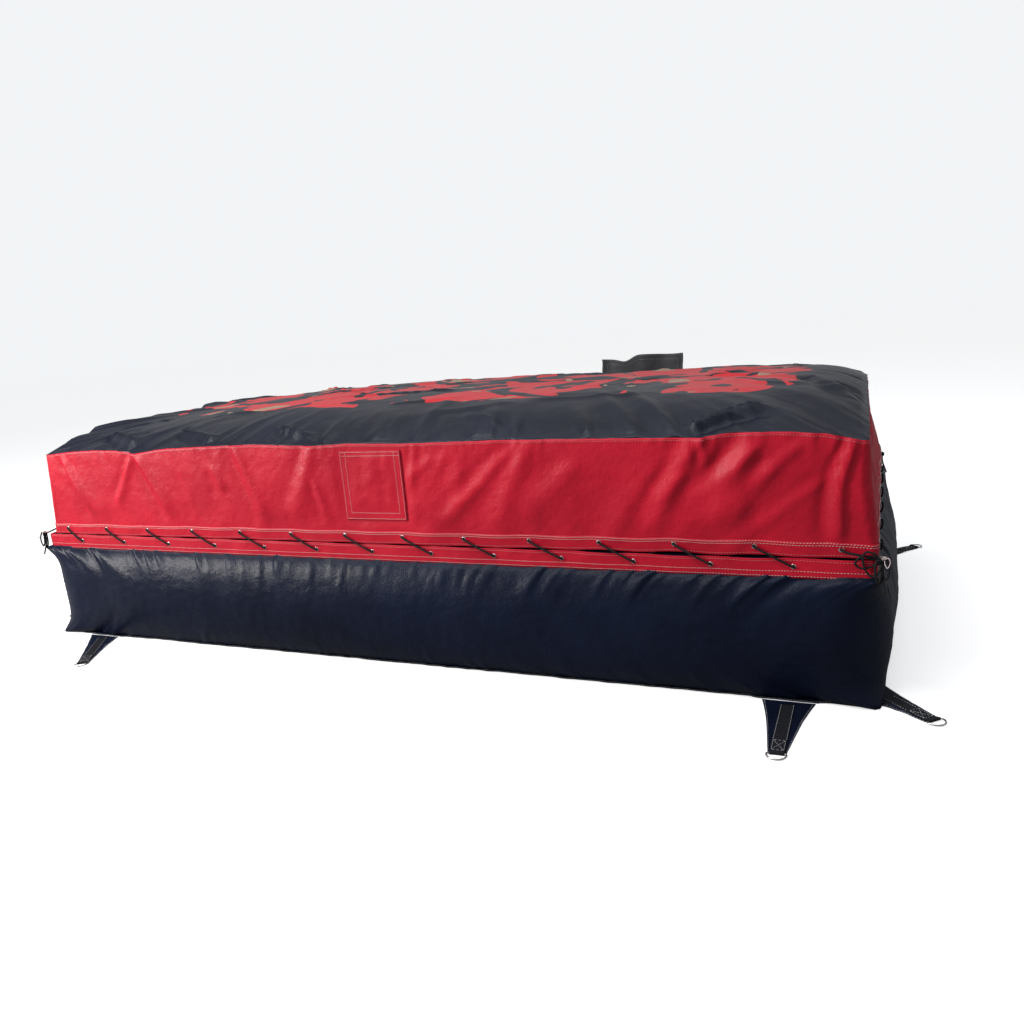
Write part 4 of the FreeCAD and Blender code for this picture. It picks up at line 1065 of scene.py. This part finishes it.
def plain_mesh(name, points, faces):
    """Mesh from points and quads, its doubled points joined and its faces turned outwards."""
    mesh = bpy.data.meshes.new(name)
    mesh.from_pydata(points.tolist(), [], faces.tolist())
    work = bmesh.new()
    work.from_mesh(mesh)
    bmesh.ops.remove_doubles(work, verts=work.verts, dist=0.00001)
    bmesh.ops.recalc_face_normals(work, faces=work.faces)
    work.to_mesh(mesh)
    work.free()
    mesh.polygons.foreach_set("use_smooth", np.ones(len(mesh.polygons), bool))
    return shown(name, mesh)


up_at, up_eye, up_way = upper_eyes()
low_at, low_eye, low_way = lower_eyes()
for name, node_name, eyes, ways in (
    ("hem_eyelet_row", "hem_eyelets", up_eye, up_way), ("band_eyelet_row", "band_eyelets", low_eye, low_way),
):
    row = plain_mesh(name, *revolved(eyes, ways, EYE_PROFILE, 20))
    finish_piece(row, "mat", "plated_steel", plated_steel, node_name)


# ---------------------------------------------------------------- lacing cords
# One 8 mm braided polyester cord to each side. It goes down in front from every upper eyelet to
# the lower one on its right, and up behind to the next, and it is drawn tight.
CORD_STEP = 0.0025


def read_along(run, values, where):
    """Values given at distances run along a line, read at other distances."""
    return np.stack([np.interp(where, run, values[:, i]) for i in range(3)], axis=-1)


def smooth_line(points, spacing):
    """Evenly spaced points of the Catmull-Rom curve through points."""
    ends = np.concatenate([[2 * points[0] - points[1]], points, [2 * points[-1] - points[-2]]])
    a, b, c, d = (ends[k:len(ends) - 3 + k, None, :] for k in range(4))
    t = np.linspace(0, 1, 16, endpoint=False)[None, :, None]
    curve = 0.5 * (2 * b + (c - a) * t + (2 * a - 5 * b + 4 * c - d) * t ** 2 + (3 * b - a - 3 * c + d) * t ** 3)
    curve = np.concatenate([curve.reshape(-1, 3), points[-1:]])
    run = distance_along(curve)
    return read_along(run, curve, np.linspace(0, run[-1], max(4, int(run[-1] / spacing))))


for k, side in enumerate(SIDES):
    tops, lows = up_eye[up_at["side"] == k], low_eye[low_at["side"] == k]
    way = turned([0.0, -1.0, 0.0], side)
    route = [tops[0] - way * 0.011 - turned([0.026, 0, 0.008], side)]
    for j in range(len(tops)):
        route += [tops[j] - way * 0.008, tops[j], tops[j] + way * 0.009]
        if j < len(lows):
            bottom = lows[j]
            route += [(tops[j] + bottom) / 2 + way * 0.0125]
            route += [bottom + way * 0.009, bottom, bottom - way * 0.008]
            route += [(bottom + tops[j + 1]) / 2 - way * 0.0085]
    corner = knot_at(side) + np.array([-0.006, 0.0, 0.004])
    route += [tops[-1] + way * 0.012 + turned([0.02, 0, -0.008], side)]
    route += [(tops[-1] + turned(corner, side)) / 2 + way * 0.009, turned(corner, side)]
    line = smooth_line(np.array(route), CORD_STEP)
    cord = closed_tube("lacing_cord_run_" + side, line, CORD / 2, 12, 0.10)
    finish_piece(cord, "mat", "braided_cord", black_cord, "lacing_cord_" + side)


# ---------------------------------------------------------------- corner knots
# Overhand stopper knots where each cord is tied off. The slack is gathered in bights at the front
# and left ones, held by a thin pale tie.
def knot_line(size, lean):
    """Overhand knot: the trefoil ((2 + cos 3t) cos 2t, (2 + cos 3t) sin 2t, 1.25 sin 3t), leaning."""
    t = np.linspace(0, math.tau, 150, endpoint=False)
    x, y, z = (2 + np.cos(3 * t)) * np.cos(2 * t), (2 + np.cos(3 * t)) * np.sin(2 * t), 1.25 * np.sin(3 * t)
    c, s = math.cos(lean), math.sin(lean)
    return np.stack([x, y * c - z * s, y * s + z * c], axis=-1) * size


TIED = ("front", "left")
line = knot_line(0.0034, 1.1)
knot_grid, knot_uv = tube_grid(np.concatenate([line[-4:], line, line[:4]]), 0.0039, 12, 0.10)
loops = [(turned(knot_grid[4:-3] + knot_at(side), side), knot_uv[4:-3]) for side in SIDES]
for side in TIED:
    for reach_x, drop, out in ((0.022, 0.060, 0.010), (-0.020, 0.072, 0.014)):
        bight = knot_at(side) + np.array([
            (0.0, -0.006, 0.006), (reach_x * 0.55, -out * 0.7, 0.012), (reach_x, -out, -0.014),
            (reach_x * 0.95, -out * 1.1, -drop * 0.7), (reach_x * 0.55, -out * 1.1, -drop),
            (reach_x * 0.2, -out, -drop * 0.72), (0.002, -0.010, -0.020), (0.0, -0.004, -0.004),
        ])
        grid, uv = tube_grid(smooth_line(bight, CORD_STEP), 0.0037, 12, 0.10)
        loops.append((turned(grid, side), uv))
for bight in (
    ((0.0, -0.004, 0.006), (-0.030, -0.006, 0.020), (-0.068, -0.007, 0.014), (-0.084, -0.008, -0.008),
     (-0.062, -0.008, -0.024), (-0.030, -0.009, -0.014), (-0.004, -0.008, -0.002)),
    ((0.0, -0.012, 0.004), (-0.022, -0.014, 0.030), (-0.050, -0.014, 0.036), (-0.060, -0.014, 0.010),
     (-0.050, -0.014, -0.030), (-0.026, -0.014, -0.052), (-0.008, -0.014, -0.030), (0.0, -0.011, -0.008)),
):
    loops.append(tube_grid(smooth_line(knot_at("front") + np.array(bight), CORD_STEP), 0.0037, 12, 0.10))


def joined_tubes(name, tubes):
    """One mesh from several tubes, given as points and UV, each made by grid_mesh and then joined."""
    made = [grid_mesh(f"{name}_{k}", grid, closed=True, uv=uv, flip=True) for k, (grid, uv) in enumerate(tubes)]
    work = bmesh.new()
    for thing in made:
        work.from_mesh(thing.data)
    mesh = bpy.data.meshes.new(name)
    work.to_mesh(mesh)
    work.free()
    for thing in made:
        bpy.data.objects.remove(thing)
    return shown(name, mesh)


finish_piece(joined_tubes("corner_knot_set", loops), "mat", "braided_cord", black_cord, "corner_knots")

# Its darker colour is painted shade in the grooves between the strands.
pale_cord = braided("pale_tie_cord", (0.74, 0.62, 0.60), (0.50, 0.40, 0.39), 0.8)
TIE_RADIUS = 0.0016
ties = []
for side in TIED:
    t = np.linspace(0, math.tau, 60)
    for rise, wide, tilt in ((0.010, 0.0125, 0.3), (0.0135, 0.0128, 0.1)):
        loop = np.stack([wide * np.cos(t), wide * 0.9 * np.sin(t), rise + tilt * wide * np.cos(t)], axis=-1)
        ties.append(tube_grid(turned(loop + knot_at(side), side), TIE_RADIUS, 8))
    bow = knot_at(side) + np.array([
        (0.010, -0.010, 0.012), (0.020, -0.018, 0.018), (0.026, -0.022, 0.004), (0.018, -0.021, -0.016),
        (0.010, -0.017, -0.006), (0.008, -0.013, 0.008),
    ])
    ties.append(tube_grid(turned(smooth_line(bow, 0.002), side), TIE_RADIUS, 8))
finish_piece(joined_tubes("corner_ties", ties), "mat", "braided_cord", pale_cord)


# ---------------------------------------------------------------- sewing
# Polyester thread in lockstitch: pale on hem, band and flap, rose or grey elsewhere. Each stitch is a
# short raised loop 8 mm long. The rows are sewn 5 to 13 mm in from the edges that they hold.
def thread_material(name, dark, light):
    """Twisted polyester thread that varies between two colours along its ply."""
    material, tree, shader = new_material(name, 0.7, Sheen_Weight=0.2)
    ply = add(tree, "ShaderNodeTexNoise", Vector=object_place(tree), Scale=700.0, Detail=3.0, Distortion=1.0)
    dress(tree, shader, mix_colour(tree, ply.outputs["Fac"], dark, light), ply.outputs["Fac"], 0.6, 0.001)
    return material


thread = thread_material("sewing_thread", (0.40, 0.30, 0.28), (0.80, 0.70, 0.66))
red_thread = thread_material("rose_sewing_thread", (0.30, 0.04, 0.05), (0.62, 0.26, 0.26))
dark_thread = thread_material("grey_sewing_thread", (0.10, 0.10, 0.11), (0.30, 0.31, 0.33))
tab_thread = thread_material("pale_grey_sewing_thread", (0.20, 0.21, 0.23), (0.50, 0.51, 0.53))


def stitches(line, normals, pitch=0.011, length=0.0078, radius=0.0010):
    """Points and quads of stitches laid end to end along a line on the cloth.

    Each stitch is a six-sided spindle: its radius is radius sin(pi s)^0.4 for s from 0 to 1 along
    it, it is flattened across the cloth, and it stands half its radius out along the normal.
    """
    run = distance_along(line)
    count = max(1, int(run[-1] / pitch))
    middle = (np.arange(count) + 0.5) * run[-1] / count
    centre = read_along(run, line, middle)
    ahead = read_along(run, line, middle + 0.003) - read_along(run, line, middle - 0.003)
    ahead /= np.linalg.norm(ahead, axis=1, keepdims=True)
    out = read_along(run, normals, middle)
    out -= (out * ahead).sum(axis=1, keepdims=True) * ahead
    out /= np.linalg.norm(out, axis=1, keepdims=True)
    across = np.cross(ahead, out)
    s = np.array([0.03, 0.3, 0.7, 0.97])
    turn = np.linspace(0, math.tau, 6, endpoint=False)
    size = radius * np.sin(math.pi * s) ** 0.4
    points = (
        centre[:, None, None]
        + ahead[:, None, None] * ((s - 0.5) * length)[None, :, None, None]
        + across[:, None, None] * (size[:, None] * np.cos(turn))[None, :, :, None]
        + out[:, None, None] * (0.8 * size[:, None] * np.sin(turn) + 0.4 * radius)[None, :, :, None]
    )
    index, quads = ring_quads(count, len(s), len(turn))
    caps = ((0, [0, 1, 2, 5]), (0, [2, 3, 4, 5]), (3, [5, 2, 1, 0]), (3, [5, 4, 3, 2]))
    ends = [index[:, end, corners] for end, corners in caps]
    return points.reshape(-1, 3), np.concatenate([quads, *ends])


def sewn(name, body, slot, material, rows):
    """One piece from several rows of stitches."""
    points, quads, base = [], [], 0
    for p, q in rows:
        points.append(p)
        quads.append(q + base)
        base += len(p)
    mesh = quad_mesh(name, np.concatenate(points), np.concatenate(quads))
    return finish_piece(shown(name, mesh), body, slot, material)


def row_round(points, way):
    """Line once round the mat, closed, with its outward directions."""
    line = points.reshape(-1, 3)
    out = np.broadcast_to(way, points.shape).reshape(-1, 3)
    return np.concatenate([line, line[:1]]), np.concatenate([out, out[:1]])


UP = np.array([0.0, 0.0, 1.0])


def skirt_row(share, out=0.0027):
    """Row of stitches round the cover's sides."""
    return stitches(*row_round(*skirt_points(ring, np.array([[share]]), out)))


def band_row(share):
    """Row of stitches round the lacing band."""
    return stitches(*row_round(*band_points(ring, np.array([[share]]), 0.0024)))


hem_rows = [skirt_row(hem_share - inset / SKIRT_HEIGHT) for inset in (0.005, 0.013)]
flange_line = flange_points(ring, np.array([[0.72]]))[0] + UP * 0.0009
flange_row = stitches(*row_round(flange_line, UP))
sewn("seam_stitches", "mat", "red_coated_cloth", red_thread, [skirt_row(0.975, 0.0003)])
sewn("hem_top_stitches", "mat", "red_coated_cloth", thread, hem_rows)
sewn("hem_foot_stitches", "mat", "red_coated_cloth", red_thread, [skirt_row(0.007 / SKIRT_HEIGHT)])
sewn("band_stitches", "mat", "red_coated_cloth", thread, [band_row(0.10), band_row(0.36)])
sewn("band_top_stitches", "mat", "red_coated_cloth", red_thread, [band_row(0.90)])
sewn("bottom_seam_stitches", "mat", "black_coated_cloth", dark_thread, [flange_row])


# ---------------------------------------------------------------- front vent flap
# Square of red cloth over a mesh vent, hinged on its sewn top edge. Touch tape under its other
# three edges holds it shut, and two rows of pale stitches show where each tape is sewn.
FLAP_TOP = 0.955
FLAP_BACK, FLAP_FACE = -1.0048, -1.0079


def flap_surface(x, z, face):
    """Front or back of the flap: nearly flat on its tape, with a soft bow and small puckers."""
    edge = np.minimum(FLAP_HALF - np.abs(x - FLAP_X), z - FLAP_LOW)
    free = smooth((edge - 0.03) / 0.05) * smooth((FLAP_TOP - z) / 0.05)
    bow = 0.0045 * free * (0.6 + 0.8 * ripple(x, z, 0.16, 61)) + 0.0012 * ripple(x, z, 0.05, 62) * free
    lip = 0.0016 * np.abs(ripple(x, z, 0.07, 63)) * smooth((0.012 - edge) / 0.012) * smooth((FLAP_TOP - z) / 0.04)
    y = (FLAP_FACE if face else FLAP_BACK) - bow - lip
    return np.stack([x, y, z], axis=-1)


flap_left, flap_right = FLAP_X - FLAP_HALF, FLAP_X + FLAP_HALF
x, z = np.meshgrid(np.linspace(flap_left, flap_right, 61), np.linspace(FLAP_LOW, FLAP_TOP, 61))
x = x + 0.002 * ripple(x, z, 0.2, 64) * np.abs(x - FLAP_X) / FLAP_HALF
face_side, back_side = flap_surface(x, z, True), flap_surface(x, z, False)


def two_sided(name, front, back):
    """Closed sheet from two grids of points that share their outline, front facing out."""
    size = front[..., 0].size
    index = np.arange(size).reshape(front.shape[:2])
    over = np.stack(grid_corners(index), axis=-1).reshape(-1, 4)
    rim = np.concatenate([index[0, :-1], index[:-1, -1], index[-1, :0:-1], index[:0:-1, 0]])
    nxt = np.roll(rim, -1)
    sides = np.stack([rim, rim + size, nxt + size, nxt], axis=-1)
    quads = np.concatenate([over, over[:, ::-1] + size, sides])
    points = np.concatenate([front.reshape(-1, 3), back.reshape(-1, 3)])
    thing = plain_mesh(name, points, quads)
    bevel = thing.modifiers.new("edge", "BEVEL")
    bevel.width, bevel.segments, bevel.limit_method, bevel.angle_limit = 0.0005, 2, "ANGLE", 1.0
    return thing


flap = two_sided("vent_flap_cloth", face_side, back_side)
finish_piece(flap, "vent_flap", "red_coated_cloth", red_cloth, "vent_flap")


def flap_row(corners):
    """Row of stitches on the flap's face through corners given as (x, z)."""
    line = []
    for (x0, z0), (x1, z1) in zip(corners[:-1], corners[1:]):
        share = np.linspace(0, 1, 40)
        line.append(flap_surface(x0 + (x1 - x0) * share, z0 + (z1 - z0) * share, True))
    line = np.concatenate(line)
    return stitches(line, np.broadcast_to([0.0, -1.0, 0.0], line.shape))


flap_rows = []
for inset in (0.005, 0.030):
    low, high = FLAP_LOW + inset, FLAP_TOP - 0.004
    near, far = flap_left + inset, flap_right - inset
    for ends in (((near, high), (near, low)), ((near, low), (far, low)), ((far, low), (far, high))):
        flap_rows.append(flap_row(ends))
for height in (FLAP_TOP - 0.006, FLAP_TOP - 0.022):
    flap_rows.append(flap_row([(flap_left + 0.006, height), (flap_right - 0.006, height)]))
sewn("vent_flap_stitches", "vent_flap", "red_coated_cloth", thread, flap_rows)


# ---------------------------------------------------------------- touch tape, mesh and webs
# Hooks on the flap, loops on the skirt, black mesh behind both vents, and the webs that hold the
# chambers' tops and bottoms together. These keep their shapes from the frame.
def fuzzy_material(name, scale, light, dark, roughness, depth):
    """Cloth of small hooks, loops or meshes: round cells, roughened by a coarser noise."""
    material, tree, shader = new_material(name, roughness, Sheen_Weight=0.4)
    place = object_place(tree)
    cells = add(tree, "ShaderNodeTexVoronoi", Vector=place, Scale=scale)
    fuzz = add(tree, "ShaderNodeTexNoise", Vector=place, Scale=scale * 0.4, Detail=4.0).outputs["Fac"]
    height = math_node(tree, "MULTIPLY_ADD", fuzz, 0.5, cells.outputs["Distance"])
    rough = math_node(tree, "MULTIPLY_ADD", fuzz, 0.2, roughness - 0.1)
    dress(tree, shader, mix_colour(tree, fuzz, dark, light), height, 0.9, depth, rough)
    return material


touch_tape = fuzzy_material("touch_tape", 700.0, (0.03, 0.03, 0.032), (0.008, 0.008, 0.009), 0.85, 0.0008)
mesh_cloth = fuzzy_material("mesh_cloth", 420.0, (0.035, 0.035, 0.038), (0.010, 0.010, 0.011), 0.7, 0.0005)


def give_cad(node_name, material):
    """Puts a material on a CAD node that keeps its own shape."""
    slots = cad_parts[node_name].data.materials
    slots.clear()
    slots.append(material)


for material, node_names in (
    (touch_tape, ("vent_loop_tape", "vent_hook_tape")), (mesh_cloth, ("front_vent_screen", "rear_vent_screen")),
    (black_cloth, ("base_webs", "cushion_webs")),
):
    for node_name in node_names:
        give_cad(node_name, material)


# ---------------------------------------------------------------- rear vent flap
# Flap of dark grey cloth, lighter than the mat's black cloth, with two rows of grey stitches, sewn along its foot
# to the rear top seam.
# It stands up with its top edge in waves, and can fold down over the rear vent or in over the top.
REAR_LEFT, REAR_RIGHT = 0.45, 0.94
REAR_FOOT, REAR_HEIGHT = 0.9605, 0.2


def rear_surface(x, z, shift):
    """Standing flap: waves towards the mat that grow with height, and a dip in its top edge."""
    s = (x - REAR_LEFT) / (REAR_RIGHT - REAR_LEFT)
    q = (z - REAR_FOOT) / REAR_HEIGHT
    dip = -0.016 * np.exp(-((s - 0.30) / 0.10) ** 2) - 0.014 * (1 - smooth((s - 0.28) / 0.2))
    dip = dip - 0.004 * np.sin(s * 9.0)
    wave = 0.010 * np.sin(s * 8.5 + 0.6) + 0.005 * np.sin(s * 19.0) + 0.002 * ripple(x, z, 0.1, 65) - 0.016
    y = 1.0043 + q * wave + shift
    return np.stack([x + 0.004 * np.sin(z * 40) * q, y, z + dip * q], axis=-1)


# Plain dark grey colour for the whole flap, lighter than the black cloth.
grey_flap_cloth = coated("grey_flap_coated_cloth", (0.050, 0.050, 0.054), (0.030, 0.030, 0.033), 0.5, 0.6, 0.08, 0.2)
x, z = np.meshgrid(np.linspace(REAR_LEFT, REAR_RIGHT, 81), np.linspace(REAR_FOOT, REAR_FOOT + REAR_HEIGHT, 41))
REAR_FACE = 0.0009
rear = two_sided("rear_flap_cloth", rear_surface(x, z, -REAR_FACE), rear_surface(x, z, REAR_FACE))
finish_piece(rear, "rear_flap", "black_coated_cloth", grey_flap_cloth, "rear_flap")
rear_rows = []
for way in (-1.0, 1.0):
    for inset in (0.008, 0.030):
        near, far, high = REAR_LEFT + inset, REAR_RIGHT - inset, REAR_HEIGHT - inset
        xs = np.concatenate([np.full(40, near), np.linspace(near, far, 80), np.full(40, far)])
        rise = np.concatenate([np.linspace(0.01, high, 40), np.full(80, high), np.linspace(high, 0.01, 40)])
        line = rear_surface(xs, REAR_FOOT + rise, way * REAR_FACE)
        rear_rows.append(stitches(line, np.broadcast_to([0.0, way, 0.0], line.shape)))
sewn("rear_flap_stitches", "rear_flap", "black_coated_cloth", dark_thread, rear_rows)


# ---------------------------------------------------------------- blower sleeve
# Tube of black cloth sewn into the back wall with a collar. A blower's outlet goes into its mouth,
# and a webbing strap with a cam buckle is drawn tight round it.
SLEEVE_RADIUS, SLEEVE_MOUTH = 0.1305, 1.408


def wall_out(z):
    """Distance of the bowed back wall from the middle of the mat at height z, without its folds."""
    w = (z - WALL_FOOT) / (WALL_HEAD - WALL_FOOT)
    return 1.0 + WALL_BOW * np.clip(1 - (2 * w - 1) ** 2, 0, 1) ** 0.8


turn = np.linspace(0, math.tau, 160, endpoint=False)
sleeve_rows = []


def add_sleeve_row(radius, y, z, floor_gap):
    """Adds one ring of the sleeve, kept floor_gap above the ground."""
    sleeve_rows.append(np.stack([-SLEEVE_X + radius * np.cos(turn), y, np.maximum(z, floor_gap)], axis=-1))


for radius in (0.160, 0.152, 0.142, 0.1335):
    z = SLEEVE_Z + radius * np.sin(turn)
    add_sleeve_row(radius, wall_out(np.maximum(z, 0.010)) + 0.0035 + 0.001 * np.sin(turn * 23), z, 0.010)
y_start = wall_out(SLEEVE_Z + SLEEVE_RADIUS * np.sin(turn)) + 0.006
for share in np.linspace(0.01, 1, 60):
    y = y_start + (SLEEVE_MOUTH - y_start) * share
    slack = math.sin(math.pi * min(share / 0.68, 1.0)) ** 0.8 if share < 0.68 else 0.0
    grip = math.exp(-((share - 0.80) / 0.09) ** 2)
    folds = 0.0040 * ripple(turn * 0.13 * 2, y * 0.35, 0.09, 66) * slack
    folds = folds + 0.0022 * ripple(turn * 0.13 + 3, y, 0.05, 67) * slack
    flare = 0.0020 * share + 0.0012 * np.sin(turn * 31) * grip
    radius = SLEEVE_RADIUS + 0.0006 + folds - 0.004 * slack * abs(math.sin(share * 9)) + flare * 0.6
    add_sleeve_row(radius, y, SLEEVE_Z - 0.004 * share + radius * np.sin(turn), 0.006)
sleeve_grid = np.stack(sleeve_rows)
sleeve = grid_mesh("blower_sleeve_cloth", sleeve_grid, closed=True, uv=cloth_uv(sleeve_grid))
thicken(sleeve, 0.0014, 0.0)
finish_piece(sleeve, "mat", "black_coated_cloth", black_cloth, "blower_sleeve")


def webbing_group():
    """Height of webbing and the painted shade of its weave's grooves, from its UV: metres along it and across it.
    """
    group, come, go = new_group("webbing", {"Ribs per metre": 520.0, "Rib depth": 0.0005}, ("Height", "Shade"))
    cloth = add(group, "ShaderNodeUVMap", uv_map="cloth")
    split = add(group, "ShaderNodeSeparateXYZ", Vector=cloth.outputs["UV"])
    along = math_node(group, "MULTIPLY", split.outputs["X"], come["Ribs per metre"])
    across = math_node(group, "MULTIPLY", split.outputs["Y"], come["Ribs per metre"])
    ribs = math_node(group, "ABSOLUTE", math_node(group, "SINE", math_node(group, "MULTIPLY", across, math.pi)))
    chevron = math_node(group, "ADD", along, math_node(group, "PINGPONG", across, 6.0))
    weft = math_node(group, "SINE", math_node(group, "MULTIPLY", chevron, math.tau))
    both = math_node(group, "MULTIPLY_ADD", weft, 0.35, ribs)
    group.links.new(math_node(group, "MULTIPLY", both, come["Rib depth"]), go["Height"])
    group.links.new(both, go["Shade"])
    return group


webbing, tree, shader = new_material("webbing", 0.7, Specular_IOR_Level=0.2)
weave = add(tree, "ShaderNodeGroup", node_tree=webbing_group())
# Darker between the ribs and along the weft's chevrons: painted shade of the weave's relief.
colour = mix_colour(tree, weave.outputs["Shade"], (0.003, 0.003, 0.005), (0.014, 0.015, 0.020))
dress(tree, shader, colour, weave.outputs["Height"], 1.0)


def ribbon_grid(line, across, width):
    """Grid over a strap: its middle line, carried sideways along across from edge to edge."""
    side = np.linspace(-0.5, 0.5, 9)
    points = line[None] + side[:, None, None] * width * across[None]
    run = distance_along(line)
    uv = np.stack(np.broadcast_arrays(run[None], side[:, None] * width), axis=-1)
    return points, uv


BELT_STEPS, BELT_Y, BELT_Z = 170, 1.335, SLEEVE_Z - 0.003
belt_turn = np.linspace(-1.85, math.tau - 1.70, BELT_STEPS)
belt_radius = 0.1350 + 0.0015 * (np.linspace(0, 1, BELT_STEPS) > 0.93)
belt_line = np.stack([
    -SLEEVE_X + belt_radius * np.cos(belt_turn), np.full(BELT_STEPS, BELT_Y),
    np.maximum(BELT_Z + belt_radius * np.sin(belt_turn), 0.006),
], axis=-1)
belt_points, belt_uv = ribbon_grid(belt_line, np.broadcast_to([0.0, 1.0, 0.0], belt_line.shape), 0.044)
belt = grid_mesh("sleeve_strap_webbing", belt_points, uv=belt_uv)
thicken(belt, 0.0016, 0.0)
finish_piece(belt, "mat", "webbing", webbing, "sleeve_strap")

buckle_turn = 0.75
buckle_out = np.array([math.cos(buckle_turn), 0.0, math.sin(buckle_turn)])
buckle_side = np.array([-math.sin(buckle_turn), 0.0, math.cos(buckle_turn)])
buckle_middle = np.array([-SLEEVE_X, BELT_Y, BELT_Z]) + buckle_out * 0.1395
t = np.linspace(0, math.tau, 64, endpoint=False)
square_x, square_y = (np.sign(wave) * np.abs(wave) ** 0.35 for wave in (np.cos(t), np.sin(t)))
frames = []
for half_wide, half_long, shift, rise in ((0.028, 0.016, 0.0, 0.0), (0.0255, 0.009, 0.012, 0.004)):
    line = buckle_middle + buckle_out * rise + (half_wide * square_x)[:, None] * np.array([0.0, 1.0, 0.0])
    line = line + (half_long * square_y + shift)[:, None] * buckle_side
    grid, uv = tube_grid(np.concatenate([line, line[:2]]), 0.0022, 10)
    frames.append((grid[:-1], uv[:-1]))
finish_piece(joined_tubes("sleeve_buckle", frames), "mat", "plated_steel", plated_steel)


# ---------------------------------------------------------------- anchor tabs
# Eight sewn tabs lie on the ground round the mat. Each tapers to a loop of 50 mm webbing that holds
# a D ring, and a stake goes through the ring.
TAB_ROOT, TAB_TIP, STRAP_WIDTH = 0.190, 0.060, 0.050
BAR_HEIGHT, LOOP_RADIUS = 0.0055, 0.0046
TAB_TOP, STRAP_LIFT = 0.0020, 0.0011


def tab_place(local, side, place, edge, lean, reach):
    """Turns points given as (across, along, up) in a tab's own frame to the mat's frame."""
    slant = math.atan2(lean, reach)
    c, s = math.cos(slant), math.sin(slant)
    x = place + local[..., 0] * c + local[..., 1] * s
    y = -edge - (local[..., 1] * c - local[..., 0] * s)
    return turned(np.stack([x, y, local[..., 2]], axis=-1), side)


def tab_width(p, q, slant, long):
    """Place across and along a tab: p from edge to edge, q from its root to its tip, and a waist."""
    across = TAB_ROOT * p * math.cos(slant) * (1 - q) + TAB_TIP * p * q
    along = TAB_ROOT * p * math.sin(slant) * (1 - q) + long * q
    return across * (1 - 0.10 * np.sin(math.pi * q)), along


ROWS, COLUMNS = 57, 25
for number, (name, (side, place, lean, reach)) in enumerate(ANCHORS.items()):
    edge = run_and_reach(side)[1] + 0.0223
    slant, long = math.atan2(lean, reach), math.hypot(lean, reach)
    q = np.linspace(0, 1, ROWS)[:, None]
    p = np.linspace(-0.5, 0.5, COLUMNS)[None, :]
    across, along = tab_width(p, q, slant, long)
    seed = 70 + number
    lift = 0.0060 * np.abs(ripple(across + 0 * q, along, 0.16, seed)) * np.sin(math.pi * q) ** 0.7
    lift = lift * (0.25 + 1.5 * np.abs(p)) + 0.0016 * np.abs(ripple(across * 3, along, 0.05, seed + 20)) * (q > 0)
    lift = lift * smooth(q / 0.08)
    where = (side, place, edge, lean, reach)
    top, low = (
        tab_place(np.stack(np.broadcast_arrays(across, along, height + lift), axis=-1), *where)
        for height in (TAB_TOP, 0.0006)
    )
    tab = two_sided("tab_cloth_" + name, top, low)
    finish_piece(tab, "tab_" + name, "black_coated_cloth", black_cloth, "anchor_tab_" + name)

    def ride_height(along, column=COLUMNS // 2, q=q, long=long, lift=lift):
        """Height of the tab's top at a distance along it, down one column of its points."""
        return TAB_TOP + np.interp(along / long, q[:, 0], lift[:, column])

    round_bar = np.linspace(-math.pi / 2 - 0.15, math.pi / 2 + 0.25, 22)
    lower, upper = np.linspace(0.030, long - 0.006, 40), np.linspace(long - 0.008, long - 0.085, 16)
    d = np.concatenate([lower, long + 0.008 + LOOP_RADIUS * np.cos(round_bar), upper])
    z = np.concatenate([
        ride_height(lower) + STRAP_LIFT, np.maximum(BAR_HEIGHT + LOOP_RADIUS * np.sin(round_bar), STRAP_LIFT),
        ride_height(upper) + STRAP_LIFT + 0.0021,
    ])
    local = np.stack([0 * d, d, z], axis=-1)
    strap_points, strap_uv = ribbon_grid(local, np.broadcast_to([1.0, 0.0, 0.0], local.shape), STRAP_WIDTH)
    strap = grid_mesh("tab_strap_" + name, tab_place(strap_points, *where), uv=strap_uv)
    thicken(strap, 0.0017, 0.0)
    finish_piece(strap, "tab_" + name, "webbing", webbing, "anchor_strap_" + name)

    rows_of_thread = []
    for offset in (-0.0215, 0.0215):
        along = np.linspace(0.034, long - 0.09, 60)
        height = ride_height(along) + STRAP_LIFT + 0.0010
        rows_of_thread.append(np.column_stack([np.full(60, offset), along, height]))
    box_low, box_high = long - 0.080, long - 0.014
    for start, end in (
        ((-0.020, box_low), (0.020, box_low)), ((-0.020, box_high), (0.020, box_high)),
        ((-0.020, box_low), (-0.020, box_high)), ((0.020, box_low), (0.020, box_high)),
        ((-0.020, box_low), (0.020, box_high)), ((0.020, box_low), (-0.020, box_high)),
    ):
        share = np.linspace(0, 1, 20)[:, None]
        flat = np.array(start) * (1 - share) + np.array(end) * share
        rows_of_thread.append(np.column_stack([flat, ride_height(flat[:, 1]) + STRAP_LIFT + 0.0031]))
    for edge_share, column in ((-0.46, 1), (0.46, COLUMNS - 2)):
        inner = np.linspace(0.02, 0.97, 60)
        across, along = tab_width(edge_share, inner, slant, long)
        rows_of_thread.append(np.column_stack([across, along, ride_height(inner * long, column) + 0.0001]))
    rows_of_thread = [tab_place(line, *where) for line in rows_of_thread]
    rows_of_thread = [stitches(line, np.broadcast_to(UP, line.shape)) for line in rows_of_thread]
    sewn("tab_stitches_" + name, "tab_" + name, "webbing", tab_thread, rows_of_thread)
    give_cad("anchor_ring_" + name, plated_steel)
